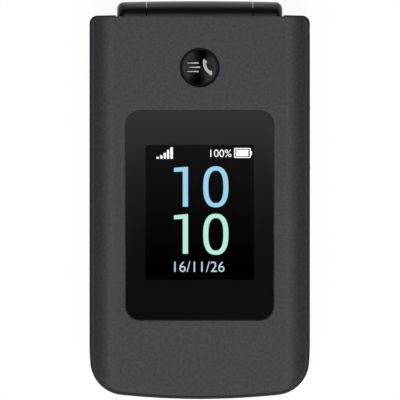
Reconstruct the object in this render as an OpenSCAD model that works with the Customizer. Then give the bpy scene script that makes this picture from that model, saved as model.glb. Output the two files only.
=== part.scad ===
// Flip phone, closed and lying on its back, built as it comes apart on a bench.
// Millimetres. +Z leaves the lid, +Y points to the hinge and +X to the right as the lid is
// seen from above. The origin is the centre of the footprint, on the surface it lies on.
// The thickness of each half is the sum of what is stacked in it.

/* [Body] */
// Width of the base half
body_w = 57.6; // [52:0.2:63]
// Length from the bottom edge to the back of the hinge barrel
body_l = 104; // [94:0.5:114]
// Gap between the closed halves
halves_gap = 0.4; // [0.38:0.02:0.6]
// Radius of the long bow of the bottom edge
bow_r = 197; // [150:1:300]
// Radius of the two bottom corners
corner_r = 9; // [8:0.5:10]
// Radius of the slow curve that leads from each side into its corner
ease_r = 65; // [55:1:90]
// Height above the bottom edge at which that slow curve starts
ease_h = 14.7; // [14:0.1:18]
// Radius of the two corners beside the hinge, seen from above
shoulder_r = 2; // [1.5:0.1:3]

/* [Base housings] */
// Wall of the base housings
base_wall = 1.2; // [1:0.1:1.3]
// Thickness of the keypad plate
plate_t = 1.4; // [1.2:0.1:1.6]
// Thickness of the rear housing's floor
floor_t = 2; // [1.8:0.1:2.1]
// Height of the seam between the two base housings
base_seam_z = 5.4; // [5.2:0.1:5.8]
// Radius along the rear edges
rear_r = 2.6; // [2:0.1:3]
// Radius along the keypad plate's edges
rim_r = 0.6; // [0.4:0.1:0.9]

/* [Lid housings] */
// Thickness of the lid cover's face
cover_t = 1.2; // [1.1:0.1:1.3]
// Wall of the lid cover
cover_wall = 1.1; // [1:0.1:1.3]
// How far the lid cover stands in from the outline of the base
cover_inset = 0.9; // [0.8:0.1:1.1]
// How far the lid frame stands in from the outline of the base
frame_inset = 0.3; // [0.1:0.1:0.5]
// Height of the lid frame's visible edge
frame_h = 2.2; // [2.1:0.1:2.8]
// Thickness of the lid frame's face
frame_t = 1.2; // [1.1:0.1:1.3]
// Width of the band along each side in which the cover curves down
band_w = 6; // [5:0.5:7]
// Radius of that curve
band_r = 11; // [9:0.5:16]
// Small radius where that curve meets the side
edge_r = 1.2; // [1:0.1:1.6]
// Radius of the cover's edge at the bottom end and beside the hinge
end_r = 0.9; // [0.6:0.1:1.2]
// Height of the frame's tongue inside the cover
tongue_h = 1.2; // [0.8:0.1:1.6]
// Thickness of that tongue
tongue_t = 0.8; // [0.6:0.1:0.9]

/* [Hinge] */
// Radius of the hinge barrel
barrel_r = 5; // [4.9:0.05:5.1]
// Distance from each side of the phone to the hinge barrel
barrel_side = 7.25; // [6.3:0.05:7.8]
// Length of the centre knuckle, seam to seam
knuckle_l = 27.8; // [26.8:0.2:28.4]
// Width of the seams beside the centre knuckle
knuckle_seam = 0.25; // [0.2:0.05:0.4]
// Clearance round the barrel in both halves
barrel_gap = 0.3; // [0.25:0.05:0.4]
// How far the lid reaches past the hinge axis
lid_reach = 1.26; // [1.1:0.02:1.3]
// How far the base stops short of the hinge axis
base_short = 1.5; // [1.4:0.1:2]
// Radius of the bores in the knuckle and in the left ear
hinge_bore_r = 3.25; // [3:0.05:3.4]
// Radius of the hinge's inner shaft
shaft_r = 1.2; // [1:0.05:1.4]
// Radial clearance of everything that turns in the hinge
run_gap = 0.05; // [0.03:0.01:0.08]
// Length of the cam and of its follower
cam_l = 2.8; // [2.2:0.1:3.4]
// Length of the hinge spring
spring_l = 8; // [6:0.5:8.5]
// Thickness of the hinge spring's wire
spring_wire = 0.9; // [0.6:0.05:1]
// Length of the bush inside the knuckle
bush_l = 6; // [4:0.5:6.5]
// Wall of the bush
bush_wall = 0.9; // [0.6:0.05:1.2]
// Thickness of the hinge's end caps
cap_t = 0.7; // [0.5:0.1:1]

/* [Outer display and round key] */
// Distance from each side of the phone to the outer lens
lens_side = 9.5; // [8:0.1:12]
// Height of the outer lens's lower end above the bottom edge
lens_chin = 20.67; // [12:0.01:28]
// Distance between the outer lens and the round key
lens_brow = 6.07; // [4:0.01:10]
// Corner radius of the outer lens
lens_r = 3; // [2:0.1:4]
// Thickness of the outer lens
lens_t = 0.8; // [0.7:0.05:0.9]
// Width of the ledge that carries the outer lens
lens_ledge = 1.5; // [1:0.1:2]
// How far the outer display stands in from each side of its lens
small_display_side = 2.3; // [1.8:0.1:4]
// How far it stands in from the lens's lower end
small_display_low = 4.78; // [3:0.01:8]
// How far it stands in from the lens's upper end
small_display_high = 3.12; // [2.5:0.01:6]
// Thickness of the outer display module
small_display_t = 2.4; // [2:0.1:2.6]
// Radius of the round key
hot_key_r = 5.22; // [4.8:0.02:6]
// Gap between the round key's flange and the hollow for the hinge
hot_key_end = 0.22; // [0.2:0.02:1.2]
// Depth of the hollow in the round key's face
hot_key_dish = 0.25; // [0.1:0.05:0.4]
// Width of the rim round that hollow
hot_key_rim = 0.35; // [0.2:0.05:0.8]
// Width of the round key's switch
hot_switch_w = 4.5; // [3.2:0.1:5]
// Height of that switch
hot_switch_h = 1.2; // [0.9:0.05:1.3]

/* [Inner display] */
// Distance from each side of the phone to the inner lens
inner_bezel = 3.8; // [3.2:0.1:5]
// Height of the inner lens's lower end above the bottom edge
inner_chin = 12.5; // [9:0.1:16]
// Distance from the ear slot's centre down to the inner lens
ear_to_lens = 5.4; // [3.4:0.1:8]
// Distance from the hollow for the hinge down to the ear slot's centre
ear_end = 4.6; // [3:0.1:6]
// Length of the ear slot
ear_slot_l = 9; // [6:0.1:12]
// Width of the ear slot
ear_slot_w = 1.4; // [1:0.1:1.8]
// Corner radius of the inner lens
inner_lens_r = 2; // [1.5:0.1:3]
// Thickness of the inner lens
inner_lens_t = 0.8; // [0.6:0.05:0.8]
// How far the main display stands in from each side of its lens
display_side = 1.5; // [1.2:0.1:3]
// How far the main display stands in from each end of its lens
display_end = 3; // [1:0.1:4]
// Thickness of the main display module
display_t = 1.9; // [1.6:0.1:2.2]

/* [Keypad] */
// Travel of the keys
key_travel = 0.3; // [0.2:0.02:0.4]
// How far the keys stand out of the keypad plate
key_proud = 0.15; // [0.05:0.05:0.2]
// Clearance round each key
key_gap = 0.15; // [0.1:0.05:0.2]
// Thickness of the flange that holds a key in
flange_t = 0.5; // [0.4:0.05:0.6]
// Width of that flange
flange_w = 0.5; // [0.4:0.05:0.55]
// Chamfer along the top of each key
key_chamfer = 0.3; // [0.2:0.05:0.4]
// Corner radius of the keys
key_r = 1.6; // [1:0.1:2.2]
// Distance from each side of the phone to the number keys
number_side = 4.7; // [4:0.1:6]
// Height of the lowest number keys above the bottom edge
number_chin = 8; // [7.6:0.1:9]
// Width of the ribs between keys that stand side by side
key_rib = 1.6; // [1.3:0.1:2.4]
// Width of the ribs between one row of number keys and the next
row_rib = 1.2; // [1.15:0.05:2]
// Distance between the uppermost number keys and the clear key
clear_rib = 2; // [1.2:0.1:3]
// Length of the clear key
clear_l = 6.4; // [5.6:0.1:7.6]
// Distance between the clear key and the direction ring
nav_rib = 2.2; // [1.2:0.1:3]
// Outer radius of the direction ring
nav_r = 12.8; // [12:0.1:13.4]
// Distance between the direction ring and the hollow for the hinge
nav_end = 12.7; // [11.6:0.1:16]
// Inner radius of the direction ring
nav_hole_r = 6.1; // [5.9:0.1:6.6]
// Largest tilt of the direction ring
nav_tilt = 1.2; // [0.8:0.1:1.2]
// Thickness of the pads under the direction ring
nav_pad_t = 0.35; // [0.25:0.05:0.45]
// Width of the pads under the direction ring
nav_pad_w = 6; // [4:0.1:7]
// Clearance between the direction ring and the centre key
ok_gap = 0.4; // [0.3:0.05:0.8]
// Distance from each side of the phone to the keys beside the direction ring
side_key_side = 3.4; // [3:0.1:5]
// Length of the four keys beside the direction ring
side_key_l = 12; // [10.6:0.1:13]
// Width of the rib between the upper and the lower of them
side_key_rib = 2; // [1.3:0.1:2.8]
// Thickness of the rubber key web
web_t = 0.4; // [0.3:0.05:0.5]
// Thickness of the dome sheet
dome_sheet_t = 0.1; // [0.08:0.01:0.12]
// Height of a dome
dome_h = 0.2; // [0.15:0.01:0.25]
// Radius of a dome
dome_r = 2.3; // [1.8:0.1:2.6]

/* [Volume key] */
// Length of the volume key
volume_l = 20.9; // [18:0.1:22]
// Height of the volume key
volume_h = 2.8; // [2.4:0.1:3]
// Distance between its upper end and the hollow for the hinge
volume_end = 13.7; // [12:0.1:18]
// Height of its centre above the seam of the base
volume_up = 0.6; // [0.4:0.05:0.8]
// How far it stands out of the side
volume_proud = 0.1; // [0:0.05:0.3]
// Largest tilt of the volume key
volume_tilt = 1.5; // [1:0.1:1.5]

/* [Battery] */
// Thickness of the battery
battery_t = 4.8; // [4.5:0.1:5.4]
// Room for swelling between the battery and its cover
battery_room = 0.3; // [0.2:0.05:0.5]
// Height of the battery's lower end above the bottom edge
battery_chin = 9.5; // [9.3:0.1:12]
// Distance from the charging socket's centre down to the battery
battery_end = 8.5; // [7.8:0.1:12]
// How far the battery stands in from each side of its cover
battery_side = 4.5; // [4.3:0.1:7]
// Clearance round the battery in its bay
bay_gap = 0.3; // [0.2:0.05:0.3]
// Wall of the battery bay
bay_wall = 0.8; // [0.6:0.1:0.8]
// Thickness of the bay's inner floor
bay_floor_t = 0.5; // [0.4:0.05:0.6]
// Width of the battery's contact block
contact_w = 9; // [7:0.1:12]
// Depth of the battery's contact block
contact_d = 2.4; // [2:0.1:2.6]
// Flat rim left beside the battery cover
back_side = 0.2; // [0.15:0.05:1]
// How far the battery cover reaches below the battery
back_low = 6.5; // [5:0.1:6.8]
// How far the battery cover reaches above the battery
back_high = 3.5; // [2.5:0.1:4.5]
// Thickness of the battery cover
back_t = 1.1; // [1:0.05:1.1]
// Corner radius of the battery cover's lower end
back_r = 7; // [5:0.5:8]
// Corner radius of its upper end
back_top_r = 3; // [2:0.5:5]
// Radius of the thumb hollow in the battery cover
thumb_r = 12; // [9:0.5:15]

/* [Boards and sockets] */
// Thickness of the main circuit board
board_t = 0.8; // [0.6:0.1:1]
// Clearance between the main board and the housing's side walls
board_side = 1.4; // [1.2:0.1:2]
// Clearance between the main board and the housing's end wall
board_end = 0.8; // [0.5:0.1:1.5]
// Thickness of the lid's circuit board
lid_board_t = 0.6; // [0.5:0.1:0.8]
// Distance between the lid's board and the frame's tongue at each side
lid_board_side = 4.4; // [4:0.1:6]
// Height of the lid board's lower end above the bottom edge
lid_board_chin = 12; // [9:0.1:14]
// Clearance between the lid's board and the hollow for the hinge
lid_board_end = 1; // [0.5:0.1:2]
// Room for the chips on the lid's board
chip_room = 0.4; // [0.35:0.05:0.6]
// Thickness of the lid's stiffening plate
stiffener_t = 0.4; // [0.3:0.05:0.5]
// Clearance between that plate and the frame's tongue at each side
stiffener_side = 0.6; // [0.3:0.05:1]
// How far that plate reaches past each end of the main display
stiffener_end = 1.2; // [0.5:0.1:1.6]
// Radius of the headphone jack's bore
jack_r = 1.77; // [1.76:0.01:1.85]
// Depth of the headphone jack's bore
jack_depth = 11; // [9:0.5:11.4]
// Distance from the headphone jack's centre to the hollow for the hinge
jack_end = 9.5; // [8.6:0.1:10.4]
// Radius of the headphone jack's nose
jack_body_r = 2.4; // [2.2:0.05:2.45]
// Half the width of the headphone jack's block
jack_side = 3; // [2.6:0.1:3.3]
// Distance from the charging socket's centre to the hollow for the hinge
usb_end = 20.5; // [18.5:0.1:22]
// Width of the charging socket
usb_w = 7.5; // [7.3:0.1:8]
// Height of the charging socket
usb_h = 2.5; // [2.4:0.1:2.6]
// Depth of the charging socket
usb_depth = 5.4; // [5:0.1:6]
// Width of the gaps between the parts in a row under the main board
part_gap = 1.9; // [1:0.1:2.4]
// Length of the shield cans, along the phone
can_l = 7.4; // [6:0.1:7.6]
// Height of the shield cans
can_h = 1.25; // [1:0.05:1.5]
// Width of the card holder
sim_w = 15; // [14:0.1:16]
// Length of the card holder
sim_l = 9; // [8:0.1:10]
// Height of the card holder
sim_h = 1.4; // [1.2:0.1:1.8]
// Distance from the right side of the phone to the card holder
sim_side = 7.3; // [6.8:0.1:9]
// Width of the loudspeaker
loud_w = 18; // [15:0.1:19]
// Length of the loudspeaker
loud_l = 12; // [9:0.1:13]
// Height of the loudspeaker
loud_h = 3; // [2.4:0.1:3.6]
// Radius of the camera's window
window_r = 3.6; // [3:0.1:4]
// Radius of the camera's barrel
camera_hole_r = 2; // [1.6:0.1:2.4]
// Radius of the vibration motor
motor_r = 2; // [1.6:0.1:2.2]
// Length of the vibration motor with its weight
motor_l = 9; // [7:0.1:10]
// Radius of the microphone
mic_r = 2; // [1.6:0.1:2.2]
// Width of the antenna's frame
antenna_w = 28; // [20:0.5:32]
// Height of the antenna's frame
antenna_h = 3.6; // [3:0.1:4.2]
// Radius of a screw's shank
screw_r = 0.7; // [0.6:0.05:0.8]
// Radius of a screw's head
screw_head_r = 1.3; // [1.1:0.05:1.4]
// Height of a screw's head
screw_head_h = 0.6; // [0.5:0.05:0.7]
// Length of a base screw below its head
base_screw_l = 7; // [6:0.1:7.2]
// Length of a lid screw below its head
lid_screw_l = 3.4; // [2.8:0.1:3.8]
// Radius of the screw bosses
boss_r = 1.9; // [1.7:0.05:1.95]
// Radius of a rubber bumper
bumper_r = 2.3; // [2:0.1:2.4]
// How far a rubber bumper sits in the lid's frame
bumper_depth = 0.6; // [0.4:0.05:0.8]

/* [Hidden] */
$fn = 48;

// Finishes
lid_grey = [0.2, 0.2, 0.21];
frame_black = [0.09, 0.09, 0.1];
gloss_black = [0.02, 0.02, 0.02];
glass_black = [0.03, 0.03, 0.04, 0.6];
key_grey = [0.16, 0.16, 0.17];
wrap_black = [0.12, 0.13, 0.15];
steel = [0.6, 0.6, 0.62];
board_green = [0.05, 0.22, 0.12];
gold = [0.75, 0.58, 0.25];
film_amber = [0.75, 0.42, 0.1];
rubber_black = [0.07, 0.07, 0.07];

// Steps along each kind of arc in the outlines
bow_steps = 5;
corner_steps = 14;
ease_steps = 4;
arc_steps = 8;

// Clearance between flat pieces stacked on each other
seat_gap = 0.05;
// Clearance between pieces that slip into each other and stay there
fit_gap = 0.1;
// Clearance round a socket in the wall that it shows through
port_gap = 0.3;
// How far a cut runs past the face that it opens
cut = 1;
// Height left between a pressed key and the web below it
press_spare = 0.05;

// Thickness of each half: its layers, and a seat gap between each of them and the next
base_t = back_t + battery_room + battery_t + bay_floor_t + board_t + dome_sheet_t + dome_h
    + web_t + press_spare + key_travel + flange_t + fit_gap + plate_t + 5 * seat_gap;
lid_t = frame_t + display_t + stiffener_t + lid_board_t + chip_room + small_display_t
    + cover_t + 4 * seat_gap;

half_w = body_w / 2;
half_l = body_l / 2;
bottom_y = -half_l;
lid_z0 = base_t + halves_gap;
lid_z1 = lid_z0 + lid_t;
hinge_y = half_l - barrel_r;
hinge_z = base_t + halves_gap / 2;
trough_r = barrel_r + barrel_gap;
ear_x0 = (knuckle_l + knuckle_seam) / 2;
ear_x1 = half_w - barrel_side;
knuckle_x = (knuckle_l - knuckle_seam) / 2;
lid_trough_x = ear_x1 + barrel_gap;
lid_end_y = hinge_y + lid_reach;
base_end_y = hinge_y - base_short;

// Levels of the base, from the keypad plate down
plate_z0 = base_t - plate_t;
flange_z1 = plate_z0 - fit_gap;
flange_z0 = flange_z1 - flange_t;
key_z1 = base_t + key_proud;
web_z1 = flange_z0 - key_travel - press_spare;
web_z0 = web_z1 - web_t;
dome_sheet_z1 = web_z0 - seat_gap - dome_h;
dome_sheet_z0 = dome_sheet_z1 - dome_sheet_t;
board_z1 = dome_sheet_z0 - seat_gap;
board_z0 = board_z1 - board_t;
part_z1 = board_z0 - seat_gap;
bay_z0 = part_z1 - bay_floor_t;
battery_z1 = bay_z0 - seat_gap;
battery_z0 = battery_z1 - battery_t;
part_z0 = floor_t + seat_gap;
ledge_z = back_t + seat_gap;
// Levels of the lid, from the inner face up
frame_z1 = lid_z0 + frame_t;
lid_seam_z = lid_z0 + frame_h;
display_z0 = frame_z1 + seat_gap;
display_z1 = display_z0 + display_t;
stiffener_z0 = display_z1 + seat_gap;
stiffener_z1 = stiffener_z0 + stiffener_t;
lid_board_z0 = stiffener_z1 + seat_gap;
lid_board_z1 = lid_board_z0 + lid_board_t;
cover_in_z = lid_z1 - cover_t;
lens_z0 = lid_z1 - lens_t;
small_display_z1 = cover_in_z - seat_gap;

// Inner ends of the hollows beside the hinge
base_in_y = hinge_y - trough_r - base_wall;
lid_in_y = hinge_y - trough_r - base_wall;
neck_y = lid_in_y - seat_gap;

// Half widths of the hollows, and how far the lid's tongue stands in
base_in_w = half_w - base_wall;
cover_in_w = half_w - cover_inset - cover_wall;
tongue_in = cover_inset + cover_wall + fit_gap;
hollow_in = tongue_in + tongue_t;
lid_in_w = half_w - hollow_in;

// Round key and outer lens, from the hinge down
hot_flange_r = hot_key_r + flange_w;
hot_key_c = lid_in_y - hot_key_end - hot_flange_r;
lens_y1 = hot_key_c - hot_key_r - lens_brow;
lens_y0 = bottom_y + lens_chin;
lens_w = body_w - 2 * lens_side;
lens_l = lens_y1 - lens_y0;
lens_c = (lens_y0 + lens_y1) / 2;
small_display_w = lens_w - 2 * small_display_side;
small_display_l = lens_l - small_display_low - small_display_high;
small_display_c = lens_c + (small_display_low - small_display_high) / 2;

// Ear slot and inner lens, from the hinge down
ear_y = lid_in_y - ear_end;
inner_lens_y1 = ear_y - ear_to_lens;
inner_lens_y0 = bottom_y + inner_chin;
inner_lens_w = body_w - 2 * inner_bezel;
inner_lens_l = inner_lens_y1 - inner_lens_y0;
inner_lens_c = (inner_lens_y0 + inner_lens_y1) / 2;
display_w = inner_lens_w - 2 * display_side;
display_l = inner_lens_l - 2 * display_end;

// Keypad, from the hinge down, with the number keys in what is left
nav_c = base_in_y - nav_end - nav_r;
clear_c = nav_c - nav_r - nav_rib - clear_l / 2;
number_y1 = clear_c - clear_l / 2 - clear_rib;
number_y0 = bottom_y + number_chin;
number_rows = 4;
number_columns = 3;
number_count = number_rows * number_columns;
number_l = (number_y1 - number_y0 - (number_rows - 1) * row_rib) / number_rows;
number_w = (body_w - 2 * number_side - (number_columns - 1) * key_rib) / number_columns;
pitch_x = number_w + key_rib;
pitch_y = number_l + row_rib;
side_key_w = half_w - side_key_side - nav_r - key_rib;
side_key_x = nav_r + key_rib + side_key_w / 2;
side_key_step = (side_key_l + side_key_rib) / 2;
ok_r = nav_hole_r - ok_gap;

// Sockets and side key, from the hinge down
usb_c = base_in_y - usb_end;
jack_c = base_in_y - jack_end;
jack_z = part_z1 - jack_body_r;
usb_z = part_z1 - usb_h / 2;
volume_c = base_in_y - volume_end - volume_l / 2;
volume_z = base_seam_z + volume_up;

// Battery, its bay and its cover
back_w = 2 * (half_w - rear_r - back_side);
battery_w = back_w - 2 * battery_side;
battery_y0 = bottom_y + battery_chin;
battery_y1 = usb_c - battery_end;
battery_l = battery_y1 - battery_y0;
battery_c = (battery_y0 + battery_y1) / 2;
bay_w = battery_w + 2 * bay_gap;
bay_l = battery_l + 2 * bay_gap;
back_y0 = battery_y0 - back_low;
back_y1 = battery_y1 + back_high;
back_l = back_y1 - back_y0;
back_c = (back_y0 + back_y1) / 2;

function arc(c, r, a0, a1, n = arc_steps) =
    [for (i = [0 : n]) let (a = a0 + (a1 - a0) * i / n) [c.x + r * cos(a), c.y + r * sin(a)]];
// The same arc without its first point, which the curve before it has drawn
function arc_on(c, r, a0, a1, n = arc_steps) =
    [for (i = [1 : n]) let (a = a0 + (a1 - a0) * i / n) [c.x + r * cos(a), c.y + r * sin(a)]];
function mirrored(right) =
    concat(right, [for (i = [len(right) - 1 : -1 : 0]) [-right[i].x, right[i].y]]);
function dist(a, b) = norm([a.x - b.x, a.y - b.y]);
function heading(a, b) = atan2(b.y - a.y, b.x - a.x);
// Where two circles cross, on the right as seen from the first centre to the second
function crossing(a, ra, b, rb) = let (
        d = dist(a, b), along = (ra * ra - rb * rb + d * d) / (2 * d),
        off = sqrt(ra * ra - along * along), u = (b - a) / d)
    a + along * u + off * [-u.y, u.x];

// Centres of the three arcs that make the right half of the bottom end
bow_c = [0, bottom_y + bow_r];
ease_c = [half_w - ease_r, bottom_y + ease_h];
corner_c = crossing(bow_c, bow_r - corner_r, ease_c, ease_r - corner_r);
bow_a = heading(bow_c, corner_c);
ease_a = heading(ease_c, corner_c);

// Outline of the phone seen from above, drawn in by inset, ending at y_top
function outline(inset, y_top, top_r) = mirrored(concat(
    arc_on(bow_c, bow_r - inset, -90, bow_a, bow_steps),
    arc_on(corner_c, corner_r - inset, bow_a, ease_a, corner_steps),
    arc_on(ease_c, ease_r - inset, ease_a, 0, ease_steps),
    arc([half_w - inset - top_r, y_top - top_r], top_r, 0, 90)));

function round_rect(w, l, r) = concat(
    arc([w / 2 - r, r - l / 2], r, -90, 0), arc([w / 2 - r, l / 2 - r], r, 0, 90),
    arc([r - w / 2, l / 2 - r], r, 90, 180), arc([r - w / 2, r - l / 2], r, 180, 270));

module slab(points, z0, z1) {
    translate([0, 0, z0]) linear_extrude(z1 - z0) polygon(points);
}

module plate(w, l, r, z0, z1, x = 0, y = 0) {
    translate([x, y, 0]) slab(round_rect(w, l, r), z0, z1);
}

// A section in X and Z, drawn out along Y
module along_y(points, y0, y1) {
    translate([0, y1, 0]) rotate([90, 0, 0]) linear_extrude(y1 - y0) polygon(points);
}

// A section in Y and Z, drawn out along X
module along_x(points, x0, x1) {
    translate([x0, 0, 0]) rotate([90, 0, 90]) linear_extrude(x1 - x0) polygon(points);
}

module block(low, high) {
    translate(low) cube(high - low);
}

module rod(r, z0, z1, x = 0, y = 0) {
    translate([x, y, z0]) cylinder(r = r, h = z1 - z0);
}

// A rod along X at the height and depth given
module cross_rod(r, x0, x1, y = hinge_y, z = hinge_z) {
    translate([x0, y, z]) rotate([0, 90, 0]) cylinder(r = r, h = x1 - x0);
}

module both_sides() {
    children();
    mirror([1, 0, 0]) children();
}

// ---- Screws and their places ----

// Distances from the corner's start, the bottom edge, the walls and the hollow for the hinge
base_screw_in = [0.3, 5.2, 1.3, 3];
lid_screw_in = [-1.2, 5, 0, 5];
base_screw_low = [half_w - corner_r - base_screw_in[0], bottom_y + base_screw_in[1]];
base_screw_high = [base_in_w - boss_r - base_screw_in[2], base_in_y - base_screw_in[3]];
lid_screw_low = [half_w - corner_r - lid_screw_in[0], bottom_y + lid_screw_in[1]];
lid_screw_high = [lid_in_w - boss_r - lid_screw_in[2], lid_in_y - lid_screw_in[3]];
base_screw_places = [base_screw_low, base_screw_high];
lid_screw_places = [lid_screw_low, lid_screw_high];
boss_bore_r = screw_r + fit_gap / 2;
sink_r = screw_head_r + fit_gap;
base_head_z = ledge_z + fit_gap;
bumper_out = halves_gap - fit_gap;
lid_head_z = lid_z0 + bumper_depth + seat_gap;

module screw(p, z, len_below) {
    translate([p.x, p.y, z]) {
        cylinder(r = screw_head_r, h = screw_head_h);
        cylinder(r = screw_r, h = screw_head_h + len_below);
    }
}

// ---- Lid housings ----

// Section of the cover across the phone: side, small edge radius, long curve, flat face
function crown(w, z0, z1) = let (
        run = band_w - edge_r, a = asin(run / (band_r - edge_r)),
        edge_c = [w - edge_r, z1 - band_r + (band_r - edge_r) * cos(a)])
    mirrored(concat([[w, z0]], arc(edge_c, edge_r, 0, 90 - a),
        arc_on([w - band_w, z1 - band_r], band_r, 90 - a, 90)));

// Height at which the cover's side turns into its curve
crown_z = lid_z1 - band_r + (band_r - edge_r) * cos(asin((band_w - edge_r) / (band_r - edge_r)));

module cover_solid() {
    w = half_w - cover_inset;
    y0 = bottom_y + cover_inset;
    end_section = concat([[y0, lid_seam_z]],
        arc([y0 + end_r, lid_z1 - end_r], end_r, 180, 90),
        arc([lid_end_y - end_r, lid_z1 - end_r], end_r, 90, 0), [[lid_end_y, lid_seam_z]]);
    intersection() {
        slab(outline(cover_inset, lid_end_y, shoulder_r), lid_seam_z, lid_z1);
        along_y(crown(w, lid_seam_z, lid_z1), y0 - cut, lid_end_y + cut);
        along_x(end_section, -w - cut, w + cut);
    }
}

// Hollow of the cover, with its bosses left standing
module cover_hollow() {
    side_z = crown_z - edge_r / 2;
    section = mirrored([[cover_in_w, lid_seam_z - cut], [cover_in_w, side_z],
        [half_w - cover_inset - band_w, cover_in_z]]);
    difference() {
        intersection() {
            slab(outline(cover_inset + cover_wall, lid_end_y - cover_wall, shoulder_r / 2),
                lid_seam_z - cut, lid_z1);
            along_y(section, bottom_y, lid_end_y);
        }
        for (p = lid_screw_places) both_sides() rod(boss_r, lid_seam_z - cut, lid_z1, p.x, p.y);
    }
}

module lid_trough() {
    cross_rod(trough_r, -lid_trough_x, lid_trough_x);
}

boss_bore_z = lid_head_z + screw_head_h + lid_screw_l + fit_gap;

module lid_front_cover() color(lid_grey) {
    difference() {
        cover_solid();
        cover_hollow();
        plate(lens_w + 2 * fit_gap, lens_l + 2 * fit_gap, lens_r + fit_gap,
            lens_z0 - seat_gap, lid_z1 + cut, 0, lens_c);
        plate(lens_w - 2 * lens_ledge, lens_l - 2 * lens_ledge, lens_r - lens_ledge / 2,
            cover_in_z - cut, lid_z1, 0, lens_c);
        rod(hot_key_r + fit_gap, cover_in_z - cut, lid_z1 + cut, 0, hot_key_c);
        for (p = lid_screw_places) both_sides()
            rod(boss_bore_r, lid_seam_z - cut, boss_bore_z, p.x, p.y);
        lid_trough();
    }
    difference() {
        lid_bosses();
        for (p = lid_screw_places) both_sides()
            rod(boss_bore_r, frame_z1, boss_bore_z, p.x, p.y);
    }
}

// The bosses' lower ends, which reach down through the frame to its face
module lid_bosses() {
    for (p = lid_screw_places) both_sides()
        rod(boss_r, frame_z1 + seat_gap, lid_seam_z, p.x, p.y);
}

// Width of the display's border that the frame covers
display_window = 2.5;

module lid_inner_frame() color(frame_black) {
    difference() {
        union() {
            slab(outline(frame_inset, lid_end_y, shoulder_r), lid_z0, lid_seam_z);
            slab(outline(tongue_in, lid_end_y - cover_wall - fit_gap, shoulder_r / 2),
                lid_z0, lid_seam_z + tongue_h);
        }
        slab(outline(hollow_in, lid_in_y, shoulder_r / 2), frame_z1, lid_z1);
        for (p = lid_screw_places) both_sides() {
            rod(boss_r + fit_gap, frame_z1, lid_z1, p.x, p.y);
            rod(boss_bore_r, lid_z0 - cut, lid_z1, p.x, p.y);
            rod(sink_r, lid_z0 - cut, lid_head_z + screw_head_h, p.x, p.y);
            rod(bumper_r + fit_gap, lid_z0 - cut, lid_z0 + bumper_depth, p.x, p.y);
        }
        plate(inner_lens_w + 2 * fit_gap, inner_lens_l + 2 * fit_gap, inner_lens_r + fit_gap,
            lid_z0 - cut, lid_z0 + inner_lens_t + 2 * seat_gap, 0, inner_lens_c);
        plate(display_w - 2 * display_window, display_l - 2 * display_window, key_r,
            lid_z0, lid_z1, 0, inner_lens_c);
        plate(ear_slot_l, ear_slot_w, ear_slot_w / 2 - seat_gap, lid_z0 - cut, lid_z1, 0, ear_y);
        lid_trough();
        block([-knuckle_x - fit_gap, neck_y, frame_z1], [knuckle_x + fit_gap, half_l, lid_z1]);
    }
}

module lid_screws() color(steel) {
    for (p = lid_screw_places) both_sides() screw(p, lid_head_z, lid_screw_l);
}

module lid_bumpers() color(rubber_black) {
    for (p = lid_screw_places) both_sides()
        rod(bumper_r, lid_z0 - bumper_out, lid_z0 + bumper_depth, p.x, p.y);
}

// ---- Outer display and round key ----

module outer_lens() color(glass_black) {
    plate(lens_w, lens_l, lens_r, lens_z0, lid_z1, 0, lens_c);
}

module outer_display() color(gloss_black) {
    glass_t = small_display_t / 2;
    step = 1.5;
    z0 = small_display_z1 - small_display_t;
    plate(small_display_w, small_display_l, step / 2, z0, z0 + glass_t, 0, small_display_c);
    plate(small_display_w - step, small_display_l - 2 * step, step / 2, z0, small_display_z1,
        0, small_display_c + step / 2);
}

hot_flange_z1 = cover_in_z - fit_gap;
hot_stem_r = 1.4;

module hot_key() color(gloss_black) {
    dish_r = hot_key_r - hot_key_rim;
    difference() {
        union() {
            rod(hot_key_r, hot_flange_z1 - flange_t, lid_z1 - seat_gap, 0, hot_key_c);
            rod(hot_flange_r, hot_flange_z1 - flange_t, hot_flange_z1, 0, hot_key_c);
            rod(hot_stem_r, lid_board_z1 + seat_gap + hot_switch_h + key_travel + press_spare,
                hot_flange_z1, 0, hot_key_c);
        }
        translate([0, hot_key_c, lid_z1 - hot_key_dish])
            cylinder(r1 = dish_r - hot_key_dish, r2 = dish_r + hot_key_dish, h = 2 * hot_key_dish);
    }
}

module hot_key_switch() color(steel) {
    z0 = lid_board_z1 + seat_gap;
    side = hot_switch_w / 2;
    translate([0, hot_key_c, 0])
        block([-side, -side, z0], [side, side, z0 + hot_switch_h * 2 / 3]);
    rod(hot_stem_r, z0, z0 + hot_switch_h, 0, hot_key_c);
}

// ---- Inside the lid ----

module inner_lens() color(glass_black) {
    plate(inner_lens_w, inner_lens_l, inner_lens_r, lid_z0 + seat_gap,
        lid_z0 + seat_gap + inner_lens_t, 0, inner_lens_c);
}

module main_display() color(gloss_black) {
    step = 0.8;
    plate(display_w, display_l, step, display_z0, display_z0 + display_t / 2, 0, inner_lens_c);
    plate(display_w - step, display_l - 2 * step, step, display_z0, display_z1, 0, inner_lens_c);
}

// The ear speaker stands on the frame beside the display
ear_speaker_size = [15, 5, 2.2];
ear_speaker_lip = 0.6;

module ear_speaker() color(steel) {
    size = ear_speaker_size;
    lip = ear_speaker_lip;
    z0 = frame_z1 + seat_gap;
    plate(size.x, size.y, size.y / 3, z0 + lip, z0 + size.z, 0, ear_y);
    plate(size.x - 2 * lip, size.y - 2 * lip, size.y / 4, z0, z0 + size.z, 0, ear_y);
}

stiffener_hole = [14, 20];

module lid_stiffener_plate() color(steel) {
    w = 2 * (lid_in_w - stiffener_side);
    l = display_l + 2 * stiffener_end;
    hole = stiffener_hole;
    difference() {
        plate(w, l, key_r, stiffener_z0, stiffener_z1, 0, inner_lens_c);
        for (s = [-1, 1])
            plate(hole.x, hole.y, key_r, stiffener_z0 - cut, stiffener_z1 + cut, s * hole.x,
                inner_lens_c);
    }
}

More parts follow.
